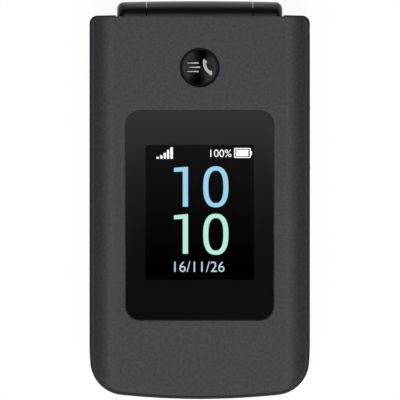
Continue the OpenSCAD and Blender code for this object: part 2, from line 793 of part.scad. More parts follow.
lid_board_w = 2 * (lid_in_w - lid_board_side);
lid_board_y0 = bottom_y + lid_board_chin;
lid_board_y1 = lid_in_y - lid_board_end;
lid_chip = [8, 6, 0.25];

module lid_circuit_board() color(board_green) {
    chip = lid_chip;
    l = lid_board_y1 - lid_board_y0;
    y = (lid_board_y0 + lid_board_y1) / 2;
    plate(lid_board_w, l, key_r, lid_board_z0, lid_board_z1, 0, y);
    for (s = [-1, 1])
        translate([s * lid_board_w / 3 - chip.x / 2, lid_board_y0 + chip.y / 3, lid_board_z1])
            cube(chip);
}

// ---- Hinge ----

cam_r = hinge_bore_r + run_gap * 4;
case_bore_r = cam_r + run_gap;
follower_x0 = knuckle_x - 2 * cam_l - 2 * fit_gap;
spring_x0 = follower_x0 - spring_l - fit_gap;
case_bore_x = spring_x0 - fit_gap;
bush_x = knuckle_x - bush_l;
flex_w = 2.8;
flex_t = 0.2;
flex_x1 = -bush_x + flex_w + 2 * fit_gap;
flex_y = hinge_y;
flex_z = lid_board_z1 + 3 * seat_gap;

module hinge_case() color(gloss_black) {
    slot = 2 * fit_gap;
    difference() {
        union() {
            cross_rod(barrel_r, -knuckle_x, knuckle_x);
            block([-knuckle_x + fit_gap, neck_y + fit_gap, frame_z1 + seat_gap],
                [knuckle_x - fit_gap, lid_end_y - cover_wall - fit_gap, cover_in_z - seat_gap]);
        }
        cross_rod(case_bore_r, case_bore_x, knuckle_x + cut);
        cross_rod(hinge_bore_r, -knuckle_x - cut, flex_x1 + fit_gap);
        block([-bush_x - slot, flex_y - slot, hinge_z],
            [flex_x1 + slot, flex_y + flex_t + slot, flex_z + flex_t + slot]);
        block([-bush_x - slot, neck_y - cut, flex_z - slot],
            [flex_x1 + slot, flex_y + flex_t + slot, flex_z + flex_t + slot]);
    }
}

module hinge_cam_shaft() color(steel) {
    cam_x0 = knuckle_x - cam_l;
    cross_rod(cam_r, cam_x0, knuckle_x);
    cross_rod(shaft_r, spring_x0, cam_x0);
    cross_rod(hinge_bore_r - run_gap, knuckle_x, ear_x1 - cap_t - fit_gap);
}

module hinge_cam_follower() color(steel) {
    difference() {
        cross_rod(cam_r, follower_x0, follower_x0 + cam_l);
        cross_rod(shaft_r + run_gap, follower_x0 - cut, follower_x0 + cam_l + cut);
    }
}

module hinge_spring() color(steel) {
    r = cam_r - 4 * run_gap;
    difference() {
        cross_rod(r, spring_x0, spring_x0 + spring_l);
        cross_rod(r - spring_wire, spring_x0 - cut, spring_x0 + spring_l + cut);
    }
}

module hinge_bush() color(gold) {
    r = hinge_bore_r - run_gap;
    difference() {
        cross_rod(r, -ear_x1 + cap_t + fit_gap, -bush_x);
        cross_rod(r - bush_wall, -ear_x1, -bush_x + cut);
    }
}

module hinge_end_caps() color(gloss_black) {
    both_sides() cross_rod(hinge_bore_r - run_gap, ear_x1 - cap_t, ear_x1);
}

// The cable's roll in the knuckle, its rise through the case and its end on the lid's board
module hinge_flex() color(film_amber) {
    roll_r = hinge_bore_r - 3 * fit_gap;
    x0 = -bush_x + fit_gap;
    x1 = flex_x1;
    tail_y = lid_board_y1 - flex_w;
    difference() {
        cross_rod(roll_r, x0, x1);
        cross_rod(roll_r - flex_t, x0 - cut, x1 + cut);
    }
    block([x0, flex_y, hinge_z + roll_r - flex_t / 2], [x1, flex_y + flex_t, flex_z + flex_t]);
    block([x0, tail_y, flex_z], [x1, flex_y + flex_t, flex_z + flex_t]);
}

// ---- Base housings ----

module base_solid() {
    y0 = bottom_y;
    top_r = rear_r / 2;
    cross_section = mirrored(concat(
        arc([half_w - rear_r, rear_r], rear_r, -90, 0),
        arc([half_w - rim_r, base_t - rim_r], rim_r, 0, 90)));
    long_section = concat(
        arc([y0 + rear_r, rear_r], rear_r, 180, 270),
        arc([base_end_y - top_r, top_r], top_r, -90, 0),
        [[base_end_y, base_t]], arc([y0 + rim_r, base_t - rim_r], rim_r, 90, 180));
    intersection() {
        slab(outline(0, base_end_y, shoulder_r), 0, base_t);
        along_y(cross_section, y0 - cut, base_end_y + cut);
        along_x(long_section, -half_w - cut, half_w + cut);
    }
}

// Centre of a number key, counted from the upper left
function number_x(i) = (i % number_columns - 1) * pitch_x;
function number_y(i) = number_y0 + number_l / 2
    + (number_rows - 1 - floor(i / number_columns)) * pitch_y;

// How far the ends of the volume key's flange swing
volume_swing = (volume_l / 2 + flange_w + key_gap) * sin(volume_tilt);
mic_chin = 4.4;
mic_y = bottom_y + mic_chin;
mic_hole_r = 0.5;

module key_hole(w, l, x, y) {
    plate(w + 2 * key_gap, l + 2 * key_gap, key_r + key_gap, plate_z0 - cut, base_t + cut, x, y);
}

// Openings that cross the seam, cut alike from both base housings
module side_openings() {
    volume = [volume_l / 2 + key_gap, volume_h / 2 + key_gap];
    usb = [usb_w / 2 + port_gap, usb_h / 2 + port_gap];
    block([base_in_w - cut, volume_c - volume[0], volume_z - volume[1]],
        [half_w + cut, volume_c + volume[0], volume_z + volume[1]]);
    cross_rod(jack_body_r + port_gap, -half_w - cut, -base_in_w + cut, jack_c, jack_z);
    block([-half_w - cut, usb_c - usb[0], usb_z - usb[1]],
        [-base_in_w + cut, usb_c + usb[0], usb_z + usb[1]]);
}

module barrel_trough() {
    cross_rod(trough_r, -ear_x0, ear_x0);
}

// Section of the foot on which each ear of the hinge stands
ear_foot = [[base_end_y - cut, base_seam_z], [base_end_y, base_seam_z],
    [hinge_y, hinge_z - barrel_r + seat_gap], [base_end_y - cut, hinge_z - barrel_r + cut]];
base_bore_z = base_head_z + screw_head_h + base_screw_l + fit_gap;

module base_front_housing() color(frame_black) {
    difference() {
        union() {
            intersection() {
                base_solid();
                block([-body_w, -body_l, base_seam_z], [body_w, body_l, base_t + cut]);
            }
            both_sides() cross_rod(barrel_r, ear_x0, ear_x1);
            both_sides() along_x(ear_foot, ear_x0, ear_x1);
        }
        difference() {
            slab(outline(base_wall, base_in_y, shoulder_r), base_seam_z - cut, plate_z0);
            for (p = base_screw_places) both_sides()
                rod(boss_r, base_seam_z - cut, base_t, p.x, p.y);
        }
        for (p = base_screw_places) both_sides()
            rod(boss_bore_r, base_seam_z - cut, base_bore_z, p.x, p.y);
        for (i = [0 : number_count - 1])
            key_hole(number_w, number_l, number_x(i), number_y(i));
        for (s = [-1, 1]) both_sides()
            key_hole(side_key_w, side_key_l, side_key_x, nav_c + s * side_key_step);
        key_hole(number_w, clear_l, 0, clear_c);
        rod(nav_r + key_gap, plate_z0 - cut, base_t + cut, 0, nav_c);
        rod(mic_hole_r, plate_z0 - cut, base_t + cut, 0, mic_y);
        barrel_trough();
        cross_rod(hinge_bore_r, -ear_x1 - cut, -ear_x0 + cut);
        cross_rod(hinge_bore_r, ear_x0 - cut, ear_x1 + cut);
        side_openings();
    }
}

contact_y0 = battery_c + bay_l / 2 + bay_wall + 2 * seat_gap;
// Gaps round the loudspeaker: to the screw boss beside it, and to the end of the hollow
loud_in = [1.5, 1.5];
loud_c = [base_screw_high.x - boss_r - loud_in.x - loud_w / 2, base_in_y - loud_in.y - loud_l / 2];
camera_side = 3.5;
camera_end = 3;
camera_x = -8;
camera_c = [camera_x, base_in_y - camera_end - camera_side];
window_t = 0.8;
slot_w = 1;
slot_l = 9;
slot_count = 5;
slot_pitch = 2.4;

// Outline of the battery cover, rounder at its lower end
function back_outline(grow) = mirrored(concat(
    arc([back_w / 2 - back_r, back_r - back_l / 2], back_r + grow, -90, 0),
    arc([back_w / 2 - back_top_r, back_l / 2 - back_top_r], back_top_r + grow, 0, 90)));

module base_rear_housing() color(frame_black) {
    difference() {
        union() {
            difference() {
                intersection() {
                    base_solid();
                    block([-body_w, -body_l, -cut], [body_w, body_l, base_seam_z]);
                }
                slab(outline(base_wall, base_in_y, shoulder_r), floor_t, base_t);
            }
            plate(bay_w + 2 * bay_wall, bay_l + 2 * bay_wall, bay_wall, floor_t / 2, part_z1,
                0, battery_c);
            for (p = base_screw_places) both_sides()
                rod(boss_r, floor_t / 2, base_seam_z - seat_gap, p.x, p.y);
        }
        plate(bay_w, bay_l, bay_wall / 2, -cut, bay_z0, 0, battery_c);
        translate([0, back_c, 0]) slab(back_outline(fit_gap), -cut, ledge_z);
        for (p = base_screw_places) both_sides() {
            rod(boss_bore_r, -cut, base_t, p.x, p.y);
            rod(sink_r, -cut, base_head_z + screw_head_h, p.x, p.y);
        }
        block([-contact_w / 2, contact_y0 - 2 * bay_wall, floor_t + seat_gap],
            [contact_w / 2, contact_y0, bay_z0 - seat_gap]);
        for (i = [0 : slot_count - 1])
            plate(slot_w, slot_l, slot_w / 3, -cut, floor_t + cut,
                loud_c.x + (i - (slot_count - 1) / 2) * slot_pitch, loud_c.y);
        rod(camera_hole_r + fit_gap, -cut, floor_t + cut, camera_c.x, camera_c.y);
        rod(window_r + fit_gap, -cut, window_t + 2 * fit_gap, camera_c.x, camera_c.y);
        side_openings();
    }
}

module base_screws() color(steel) {
    for (p = base_screw_places) both_sides() screw(p, base_head_z, base_screw_l);
}

// ---- Inside the base ----

module battery() color(wrap_black) {
    plate(battery_w, battery_l, bay_wall, battery_z0, battery_z1, 0, battery_c);
}

module battery_cover() color(lid_grey) {
    difference() {
        translate([0, back_c, 0]) slab(back_outline(0), 0, back_t);
        // Thumb hollow at the upper end
        translate([0, back_y1, back_t / 2 - thumb_r]) sphere(r = thumb_r);
    }
}

board_in = base_wall + board_side;
board_y1 = base_in_y - board_end;
side_switch = [1.5, 3.2, 1.2];

module main_circuit_board() color(board_green) {
    switch = side_switch;
    notch_r = boss_r + 2 * fit_gap;
    difference() {
        slab(outline(board_in, board_y1, shoulder_r), board_z0, board_z1);
        for (p = base_screw_places) both_sides()
            rod(notch_r, board_z0 - cut, board_z1 + cut, p.x, p.y);
    }
    // Two side switches behind the ends of the volume key
    for (s = [-1, 1])
        translate([half_w - board_in - switch.x, volume_c + s * volume_l / 3 - switch.y / 2,
            board_z0 - switch.z]) cube(switch);
}

// The row under the board: charging socket, two shield cans and the card holder
usb_x0 = -half_w + 0.2;
usb_x1 = usb_x0 + usb_depth;
sim_x0 = half_w - sim_side - sim_w;
can_w = (sim_x0 - usb_x1 - 3 * part_gap) / 2;
can_r = 1;

module shield_cans() color(steel) {
    for (i = [0, 1]) plate(can_w, can_l, can_r, part_z1 - can_h, part_z1,
        usb_x1 + part_gap + can_w / 2 + i * (can_w + part_gap), usb_c - seat_gap);
}

sheet_w = 2 * (base_screw_high.x - boss_r) - 4 * fit_gap;
sheet_y0 = number_y(number_count - 1) - number_l / 2 - flange_w;
sheet_y1 = nav_c + side_key_step + side_key_l / 2;

module keypad_web() color(rubber_black) {
    plate(sheet_w, sheet_y1 - sheet_y0, key_r, web_z0, web_z1, 0, (sheet_y0 + sheet_y1) / 2);
}

module dome_sheet() color(steel) {
    places = concat([for (i = [0 : number_count - 1]) [number_x(i), number_y(i)]],
        [for (sx = [-1, 1], sy = [-1, 1]) [sx * side_key_x, nav_c + sy * side_key_step]],
        [for (a = [0 : 90 : 270]) [0, nav_c] + (nav_r + nav_hole_r) / 2 * [cos(a), sin(a)]],
        [[0, clear_c], [0, nav_c]]);
    plate(sheet_w, sheet_y1 - sheet_y0, key_r, dome_sheet_z0, dome_sheet_z1, 0,
        (sheet_y0 + sheet_y1) / 2);
    for (p = places) rod(dome_r, dome_sheet_z0, dome_sheet_z1 + dome_h, p.x, p.y);
}

module usb_port() color(steel) {
    shell = 0.3;
    tongue = 0.35;
    side = [usb_w / 2, usb_h / 2];
    bore = [side.x - shell, side.y - shell];
    tongue_z = usb_z + shell;
    difference() {
        block([usb_x0, usb_c - side.x, usb_z - side.y], [usb_x1, usb_c + side.x, usb_z + side.y]);
        block([usb_x0 - cut, usb_c - bore.x, usb_z - bore.y],
            [usb_x1 - shell, usb_c + bore.x, usb_z + bore.y]);
    }
    block([usb_x0 + cut, usb_c - usb_w / 4, tongue_z - tongue / 2],
        [usb_x1, usb_c + usb_w / 4, tongue_z + tongue / 2]);
}

jack_x0 = -half_w + 0.15;
jack_x1 = jack_x0 + jack_depth + 1;

module headphone_jack() color(gloss_black) {
    block_x = jack_x0 + base_wall + 2 * port_gap;
    difference() {
        union() {
            cross_rod(jack_body_r, jack_x0, jack_x1, jack_c, jack_z);
            block([block_x, jack_c - jack_side, part_z0], [jack_x1, jack_c + jack_side, part_z1]);
        }
        cross_rod(jack_r, jack_x0 - cut, jack_x0 + jack_depth, jack_c, jack_z);
    }
}

module loudspeaker() color(rubber_black) {
    cone_r = 4.4;
    corner = 2;
    difference() {
        plate(loud_w, loud_l, corner, part_z0, part_z0 + loud_h, loud_c.x, loud_c.y);
        rod(cone_r, part_z0 - cut, part_z0 + cut, loud_c.x, loud_c.y);
    }
}

module microphone() color(steel) {
    h = 1.2;
    port_r = 0.4;
    difference() {
        rod(mic_r, board_z1 + seat_gap, board_z1 + seat_gap + h, 0, mic_y);
        rod(port_r, board_z1 + h, board_z1 + 2 * h, 0, mic_y);
    }
}

module camera_module() color(gloss_black) {
    side = camera_side;
    h = 4.2;
    translate([camera_c.x, camera_c.y, 0])
        block([-side, -side, part_z0], [side, side, part_z0 + h]);
    rod(camera_hole_r, window_t + 2 * fit_gap, part_z0 + h, camera_c.x, camera_c.y);
}

module camera_lens() color(glass_black) {
    rod(window_r, fit_gap, fit_gap + window_t, camera_c.x, camera_c.y);
}

// Gaps beside the motor: to the end of the headphone jack, and to the shield cans
motor_in = [2.65, 0.35];

// The motor, its shaft and the weight that it swings
module vibration_motor() color(steel) {
    weight_l = 3;
    x0 = jack_x1 + motor_in.x;
    x1 = x0 + motor_l;
    y = usb_c - seat_gap + can_l / 2 + motor_in.y + motor_r;
    z = part_z0 + motor_r;
    cross_rod(motor_r, x0, x1 - weight_l, y, z);
    cross_rod(motor_r / 4, x0, x1, y, z);
    cross_rod(motor_r * 4 / 5, x1 - weight_l + fit_gap, x1, y, z);
}

sim_up = 1.5;

module sim_holder() color(steel) {
    shell = 0.2;
    z0 = part_z1 - sim_h;
    difference() {
        plate(sim_w, sim_l, shell, z0, part_z1, sim_x0 + sim_w / 2, usb_c + sim_up);
        translate([sim_x0, usb_c + sim_up, 0])
            block([shell, -sim_l, z0 + shell], [sim_w - shell, sim_l / 2 - shell, part_z1 - shell]);
    }
}

module battery_contacts() color(gold) {
    pin = [0.8, 1.2];
    z0 = floor_t + 2 * seat_gap + 1;
    block([-contact_w / 2, contact_y0, z0], [contact_w / 2, contact_y0 + contact_d, part_z1]);
    for (i = [-1 : 1]) translate([i * contact_w / 3, 0, z0])
        block([-pin.x / 2, battery_y1 + fit_gap, pin.y], [pin.x / 2, contact_y0, 2 * pin.y]);
}

antenna_end = 2.2;

// A ribbed frame between the battery bay and the bottom wall
module antenna() color(steel) {
    w = antenna_w;
    rib = 1;
    y0 = bottom_y + base_wall + antenna_end;
    y1 = battery_y0 - bay_gap - bay_wall - 2 * fit_gap;
    z1 = part_z0 + antenna_h;
    block([-w / 2, y0, part_z0], [w / 2, y0 + rib, z1]);
    block([-w / 2, y0, part_z0], [w / 2, y1, part_z0 + rib]);
    for (s = [-1, 0, 1]) translate([s * (w - rib) / 2, 0, 0])
        block([-rib / 2, y0, part_z0], [rib / 2, y1, z1]);
}

// ---- Keys ----

// Section of a key with a chamfer along both top edges
function key_section(w, c) =
    mirrored([[w / 2, flange_z0], [w / 2, key_z1 - c], [w / 2 - c, key_z1]]);

// A rectangular key: chamfered cap, and a flange below the keypad plate
module key(w, l, x, y) {
    c = key_chamfer;
    translate([x, y, 0]) {
        intersection() {
            slab(round_rect(w, l, key_r), flange_z0, key_z1);
            along_y(key_section(w, c), -l, l);
            along_x(key_section(l, c), -w, w);
        }
        plate(w + 2 * flange_w, l + 2 * flange_w, key_r, flange_z0, flange_z1);
    }
}

module number_key(i) color(key_grey) {
    key(number_w, number_l, number_x(i), number_y(i));
}

module side_key(sx, sy) color(key_grey) {
    key(side_key_w, side_key_l, sx * side_key_x, nav_c + sy * side_key_step);
}

module clear_key() color(key_grey) {
    key(number_w, clear_l, 0, clear_c);
}

// The ring stands on its pads, high enough to tilt over the web
nav_pad_z0 = web_z1 + nav_r * sin(nav_tilt) + press_spare;
nav_pad_z1 = nav_pad_z0 + nav_pad_t;
nav_z0 = nav_pad_z1 + 2 * seat_gap;
nav_z1 = base_t;
nav_pad_in = 0.67;

module ok_key() color(key_grey) {
    hollow_r = 14;
    z1 = base_t + key_proud / 2;
    difference() {
        rod(ok_r, flange_z0, z1, 0, nav_c);
        translate([0, nav_c, z1 + hollow_r - key_chamfer]) sphere(r = hollow_r);
    }
}

// The ring's cap: an ease on both top edges, turned about its centre
module nav_ring() color(lid_grey) {
    c = key_chamfer;
    translate([0, nav_c, 0]) rotate_extrude() polygon([
        [nav_hole_r, nav_z0], [nav_r, nav_z0], [nav_r, nav_z1 - c], [nav_r - c, nav_z1],
        [nav_hole_r + c, nav_z1], [nav_hole_r, nav_z1 - c]]);
}

// Two pads under the ring that its tilt rocks on
module nav_pads() color(rubber_black) {
    l = nav_r - nav_hole_r - 2 * nav_pad_in;
    r = 1;
    for (s = [-1, 1])
        plate(nav_pad_w, l, r, nav_pad_z0, nav_pad_z1, 0, nav_c + s * (nav_r + nav_hole_r) / 2);
}

module volume_bar(l, h, x0, x1) {
    translate([0, volume_c, volume_z]) along_x(round_rect(l, h, h / 3), x0, x1);
}

// The rocker in the right side, with its retaining flange inside the wall
module volume_key() color(frame_black) {
    inner_x = base_in_w - volume_swing - press_spare;
    flange_l = volume_l + 2 * flange_w + 2 * key_gap;
    volume_bar(volume_l, volume_h, inner_x - flange_t, half_w + volume_proud);
    volume_bar(flange_l, volume_h + flange_w, inner_x - flange_t, inner_x);
}

lid_front_cover();
lid_inner_frame();
outer_lens();
outer_display();
inner_lens();
main_display();
lid_stiffener_plate();
lid_circuit_board();
ear_speaker();
hot_key_switch();
lid_screws();
lid_bumpers();
hinge_case();
hinge_spring();
hinge_cam_follower();
hinge_flex();
hot_key();
base_front_housing();
base_rear_housing();
battery();
main_circuit_board();
shield_cans();
keypad_web();
dome_sheet();
usb_port();
headphone_jack();
loudspeaker();
microphone();
camera_module();
camera_lens();
vibration_motor();
sim_holder();
battery_contacts();
base_screws();
hinge_cam_shaft();
hinge_bush();
hinge_end_caps();
antenna();
number_key(0);  // key_1
number_key(1);  // key_2
number_key(2);  // key_3
number_key(3);  // key_4
number_key(4);  // key_5
number_key(5);  // key_6
number_key(6);  // key_7
number_key(7);  // key_8
number_key(8);  // key_9
number_key(9);  // key_star
number_key(10);  // key_0
number_key(11);  // key_hash
side_key(-1, 1);  // soft_left
side_key(1, 1);  // soft_right
side_key(-1, -1);  // call_key
side_key(1, -1);  // end_key
clear_key();
ok_key();
nav_pads();
nav_ring();
volume_key();
battery_cover();
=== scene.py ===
# %% [markdown]
# # Dressing a flip phone
# The CAD file holds every part at its true size, and this lesson gives them their looks. We work in the
# CAD frame, in metres, with the phone lying closed on its back: X to the right, Y towards the hinge and
# Z up, out of the lid. The first step loads that frame.

# %% Load the imported frame
import math
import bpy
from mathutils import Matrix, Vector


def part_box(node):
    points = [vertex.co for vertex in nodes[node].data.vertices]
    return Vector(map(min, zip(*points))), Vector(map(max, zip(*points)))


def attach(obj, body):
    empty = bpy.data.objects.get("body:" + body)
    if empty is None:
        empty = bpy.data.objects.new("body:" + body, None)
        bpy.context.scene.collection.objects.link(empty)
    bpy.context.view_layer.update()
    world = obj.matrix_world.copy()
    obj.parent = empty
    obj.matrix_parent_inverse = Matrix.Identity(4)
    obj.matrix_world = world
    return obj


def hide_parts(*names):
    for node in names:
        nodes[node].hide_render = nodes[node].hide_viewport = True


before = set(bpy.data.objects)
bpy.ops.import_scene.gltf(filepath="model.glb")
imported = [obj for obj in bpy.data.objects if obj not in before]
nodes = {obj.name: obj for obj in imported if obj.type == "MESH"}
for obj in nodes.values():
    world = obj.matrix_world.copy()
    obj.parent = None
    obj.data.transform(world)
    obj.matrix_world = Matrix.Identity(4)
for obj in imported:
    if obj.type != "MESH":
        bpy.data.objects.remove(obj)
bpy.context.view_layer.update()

from types import SimpleNamespace

import bmesh
import bpy
from mathutils import Vector

MM = 0.001


def box_mm(name):
    """A CAD node's box in millimetres: its low and high corners, its size and its middle."""
    low, high = (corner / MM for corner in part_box(name))
    return SimpleNamespace(low=low, high=high, size=high - low, middle=(low + high) / 2)


def new_object(name, data):
    obj = bpy.data.objects.new(name, data)
    bpy.context.scene.collection.objects.link(obj)
    return obj


# %% [markdown]
# ## The camera
# The portrait was taken from straight above with a long lens: the two sides of the phone look alike and
# no wall shows more than a hair. A camera over four metres away with a very long lens gives that view,
# and the focal length follows from the width that the picture covers at the lid's face.

# %% Place the camera
VIEW_WIDTH, VIEW_MIDDLE_X = 104.30 * MM, 0.08 * MM
CAMERA_DISTANCE, SENSOR_WIDTH = 4.4, 36.0

camera = new_object("portrait_camera", bpy.data.cameras.new("portrait_camera"))
camera.data.sensor_width = SENSOR_WIDTH
camera.data.lens = SENSOR_WIDTH * CAMERA_DISTANCE / VIEW_WIDTH
camera.data.clip_start, camera.data.clip_end = 0.1, 20.0
camera.location = (VIEW_MIDDLE_X, 0.0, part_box("outer_lens")[1].z + CAMERA_DISTANCE)
bpy.context.scene.camera = camera
bpy.context.scene.view_settings.view_transform = "Standard"
print("lens, mm:", round(camera.data.lens, 1))

# %% [markdown]
# ## Helpers for shader nodes
# Materials are small graphs, and a few helpers keep them readable: they add a node and set its inputs,
# start a node group with named sockets, and make a material around a Principled shader. A value that is
# the same all over a surface is set on the shader's own socket, and only what varies is linked.

# %% Helpers for nodes, groups and materials
def add_node(tree, kind, values=None, **settings):
    node = tree.nodes.new(kind)
    for key, value in settings.items():
        setattr(node, key, value)
    for socket, value in (values or {}).items():
        if isinstance(value, bpy.types.NodeSocket):
            tree.links.new(value, node.inputs[socket])
        else:
            node.inputs[socket].default_value = value
    return node


def feed(tree, inputs, **values):
    """Links or sets inputs by their names, with an underscore for each space. A colour has three values."""
    for label, value in values.items():
        socket = inputs[label.replace("_", " ")]
        if isinstance(value, bpy.types.NodeSocket):
            tree.links.new(value, socket)
        else:
            socket.default_value = (*value, 1) if isinstance(value, tuple) else value


def math_node(tree, operation, *values, clamp=False):
    node = add_node(tree, "ShaderNodeMath", dict(enumerate(values)), operation=operation, use_clamp=clamp)
    return node.outputs[0]


def map_range(tree, value, low, high, top=1.0, **settings):
    values = {"Value": value, "From Min": low, "From Max": high, "To Max": top}
    return add_node(tree, "ShaderNodeMapRange", values, **settings).outputs[0]


def mix_colour(tree, share, first, second):
    return add_node(tree, "ShaderNodeMix", {0: share, 6: first, 7: second}, data_type="RGBA").outputs[2]


def ramp_node(tree, factor, stops):
    node = add_node(tree, "ShaderNodeValToRGB", {0: factor})
    marks = node.color_ramp.elements
    while len(marks) < len(stops):
        marks.new(0.5)
    for mark, (place, value) in zip(marks, stops):
        mark.position = place
        mark.color = (value, value, value, 1) if isinstance(value, float) else (*value, 1)
    return node.outputs["Color"]


def object_place(tree):
    """Object coordinates, in metres."""
    return add_node(tree, "ShaderNodeTexCoord").outputs["Object"]


def parts_of(tree, vector):
    return add_node(tree, "ShaderNodeSeparateXYZ", {0: vector}).outputs


def bump(tree, height, lift_mm):
    """Feeds a height to a Bump node, where a height of 1 lifts the surface by lift_mm."""
    return add_node(tree, "ShaderNodeBump", {"Distance": lift_mm * MM, "Height": height}).outputs[0]


def new_group(name, inputs, outputs):
    """A shader node group. An input is a float, or a colour where it has three values."""
    tree = bpy.data.node_groups.new(name, "ShaderNodeTree")
    for label, value in inputs.items():
        kind = "Color" if isinstance(value, tuple) else "Float"
        socket = tree.interface.new_socket(label, in_out="INPUT", socket_type=f"NodeSocket{kind}")
        socket.default_value = (*value, 1) if isinstance(value, tuple) else value
    for label, kind in outputs.items():
        tree.interface.new_socket(label, in_out="OUTPUT", socket_type=f"NodeSocket{kind}")
    return tree, tree.nodes.new("NodeGroupInput").outputs, tree.nodes.new("NodeGroupOutput").inputs


def place_group(tree, name, **values):
    node = add_node(tree, "ShaderNodeGroup", node_tree=bpy.data.node_groups[name])
    feed(tree, node.inputs, **values)
    return node.outputs


def new_material(name, colour, roughness, **plain):
    """A material with one Principled shader, whose plain values sit on its own sockets."""
    made = bpy.data.materials.new(name)
    made.use_nodes = True
    shader = made.node_tree.nodes["Principled BSDF"].inputs
    feed(made.node_tree, shader, Base_Color=colour, Roughness=roughness, **plain)
    return made, made.node_tree, shader


# %% [markdown]
# ## The studio
# The phone was lit by a large soft box overhead with a slot for the camera, and by the white table. The
# slot runs along the phone: it is why the window reads nearly black, and why the spun key is dark above
# and below its centre and bright at its sides. Two ramps draw the light by height, from straight down
# to straight up, one for the sides and one for the ends, and the direction blends them. Straight above,
# the slot's far end is a little lit, which shows in the window as a soft fade from its top downwards.

# %% Draw the studio in the world
SIDE_SKY = [(0.0, 1.0), (0.45, 0.95), (0.50, 0.6), (0.52, 0.3), (0.60, 0.12), (0.80, 0.05), (0.90, 0.08),
            (0.94, 0.25), (0.965, 0.7), (0.985, 1.0), (0.9990, 1.0), (0.9996, 0.0), (1.0, 0.0)]
END_SKY = [(0.0, 1.0), (0.45, 0.95), (0.50, 0.75), (0.53, 0.55), (0.57, 0.32), (0.62, 0.17), (0.711, 0.07),
           (0.815, 0.1), (0.86, 0.17), (0.90, 0.45), (0.926, 0.7), (0.953, 1.0), (0.967, 0.9), (0.976, 0.01),
           (0.9996, 0.0), (1.0, 0.0)]
SKY_TURN, BLEND_FROM, BLEND_TO = math.radians(10), 0.05, 0.5
SLOT_SINE, SLOT_LEVEL, SLOT_DARK, SLOT_LIT = 0.02, 0.168, -0.004, 0.008

world = bpy.data.worlds.new("studio")
bpy.context.scene.world = world
world.use_nodes = True
tree = world.node_tree
tree.nodes.clear()
direction = parts_of(tree, add_node(tree, "ShaderNodeTexCoord").outputs["Generated"])
height = math_node(tree, "MULTIPLY_ADD", direction[2], 0.5, 0.5)
turned = [math_node(tree, "ADD", math_node(tree, "MULTIPLY", direction[i], math.cos(SKY_TURN)),
                    math_node(tree, "MULTIPLY", direction[1 - i], sign * math.sin(SKY_TURN)))
          for i, sign in ((0, -1), (1, 1))]
across, along = (math_node(tree, "MULTIPLY", part, part) for part in turned)
level = math_node(tree, "ADD", math_node(tree, "ADD", across, along), 1e-6)
side = map_range(tree, math_node(tree, "DIVIDE", across, level), BLEND_FROM, BLEND_TO,
                 interpolation_type="SMOOTHSTEP")
light = mix_colour(tree, side, ramp_node(tree, height, END_SKY), ramp_node(tree, height, SIDE_SKY))
overhead = math_node(tree, "GREATER_THAN", direction[2], math.sqrt(1 - SLOT_SINE ** 2))
# The slot's light gives the window a soft fade, and the border under the window adds a painted reflection to
# it.
slot_light = map_range(tree, direction[1], SLOT_DARK, SLOT_LIT, SLOT_LEVEL)
studio = add_node(tree, "ShaderNodeBackground", {"Color": mix_colour(tree, overhead, light, slot_light)})
plain_white = add_node(tree, "ShaderNodeBackground", {"Color": (1, 1, 1, 1)})
seen = add_node(tree, "ShaderNodeLightPath").outputs["Is Camera Ray"]
shown = add_node(tree, "ShaderNodeMixShader", {0: seen, 1: studio.outputs[0], 2: plain_white.outputs[0]})
add_node(tree, "ShaderNodeOutputWorld", {0: shown.outputs[0]})

# %% [markdown]
# One wide lamp above fills in the light that falls on matt surfaces, up to the level at which a colour
# renders as it is written. It is hidden from mirrors, because its picture would fill the glossy window.

# %% Hang the fill lamp
FILL_HEIGHT, FILL_BACK, FILL_SIZE, FILL_POWER = 1.4, 0.9, 1.1, 27.0

fill = new_object("fill_lamp", bpy.data.lights.new("fill_lamp", "AREA"))
fill.data.size, fill.data.energy = FILL_SIZE, FILL_POWER
fill.location = (0.0, -FILL_BACK, FILL_HEIGHT)
fill.rotation_euler.x = math.atan2(FILL_BACK, FILL_HEIGHT)
fill.visible_camera = fill.visible_glossy = fill.visible_transmission = False

# %% [markdown]
# ## The floor
# The background is pure white, yet the phone should still cast its shadow. The floor therefore glows a
# little less than white to the camera, to mirrors and through glass, and a thin coat of diffuse white
# makes up the rest, which a shadow can take away. The table was lit in a strip along the phone, so the
# phone's flanks mirror a darker floor. From below it is clear, so the back can be viewed.

# %% Lay the white floor
FLOOR_HALF, FLOOR_DROP, FLOOR_GLOW, FLOOR_FAR, STRIP_HALF = 3.0, 0.0002, 0.95, 0.5, 0.0225

sheet = bmesh.new()
bmesh.ops.create_grid(sheet, x_segments=8, y_segments=8, size=FLOOR_HALF)
bmesh.ops.translate(sheet, verts=sheet.verts, vec=(0, 0, -FLOOR_DROP))
mesh = bpy.data.meshes.new("white_floor")
sheet.to_mesh(mesh)
sheet.free()

white, tree, _ = new_material("white_floor", (0.8, 0.8, 0.8), 0.9)
tree.nodes.clear()
path = add_node(tree, "ShaderNodeLightPath").outputs
looked_at = math_node(tree, "MAXIMUM", path["Is Camera Ray"], path["Is Glossy Ray"])
looked_at = math_node(tree, "MAXIMUM", looked_at, path["Is Transmission Ray"])
across = math_node(tree, "ABSOLUTE", parts_of(tree, object_place(tree))[0])
outside = math_node(tree, "GREATER_THAN", across, STRIP_HALF)
outside = math_node(tree, "MULTIPLY", outside, path["Is Glossy Ray"])
strength = math_node(tree, "MULTIPLY_ADD", outside, FLOOR_FAR - FLOOR_GLOW, FLOOR_GLOW)
glow = add_node(tree, "ShaderNodeEmission", {"Color": (1, 1, 1, 1), "Strength": strength})
thin = add_node(tree, "ShaderNodeBsdfDiffuse", {"Color": (1 - FLOOR_GLOW,) * 3 + (1,)})
table = add_node(tree, "ShaderNodeBsdfDiffuse", {"Color": (0.8, 0.8, 0.8, 1)})
lit = add_node(tree, "ShaderNodeAddShader", {0: glow.outputs[0], 1: thin.outputs[0]})
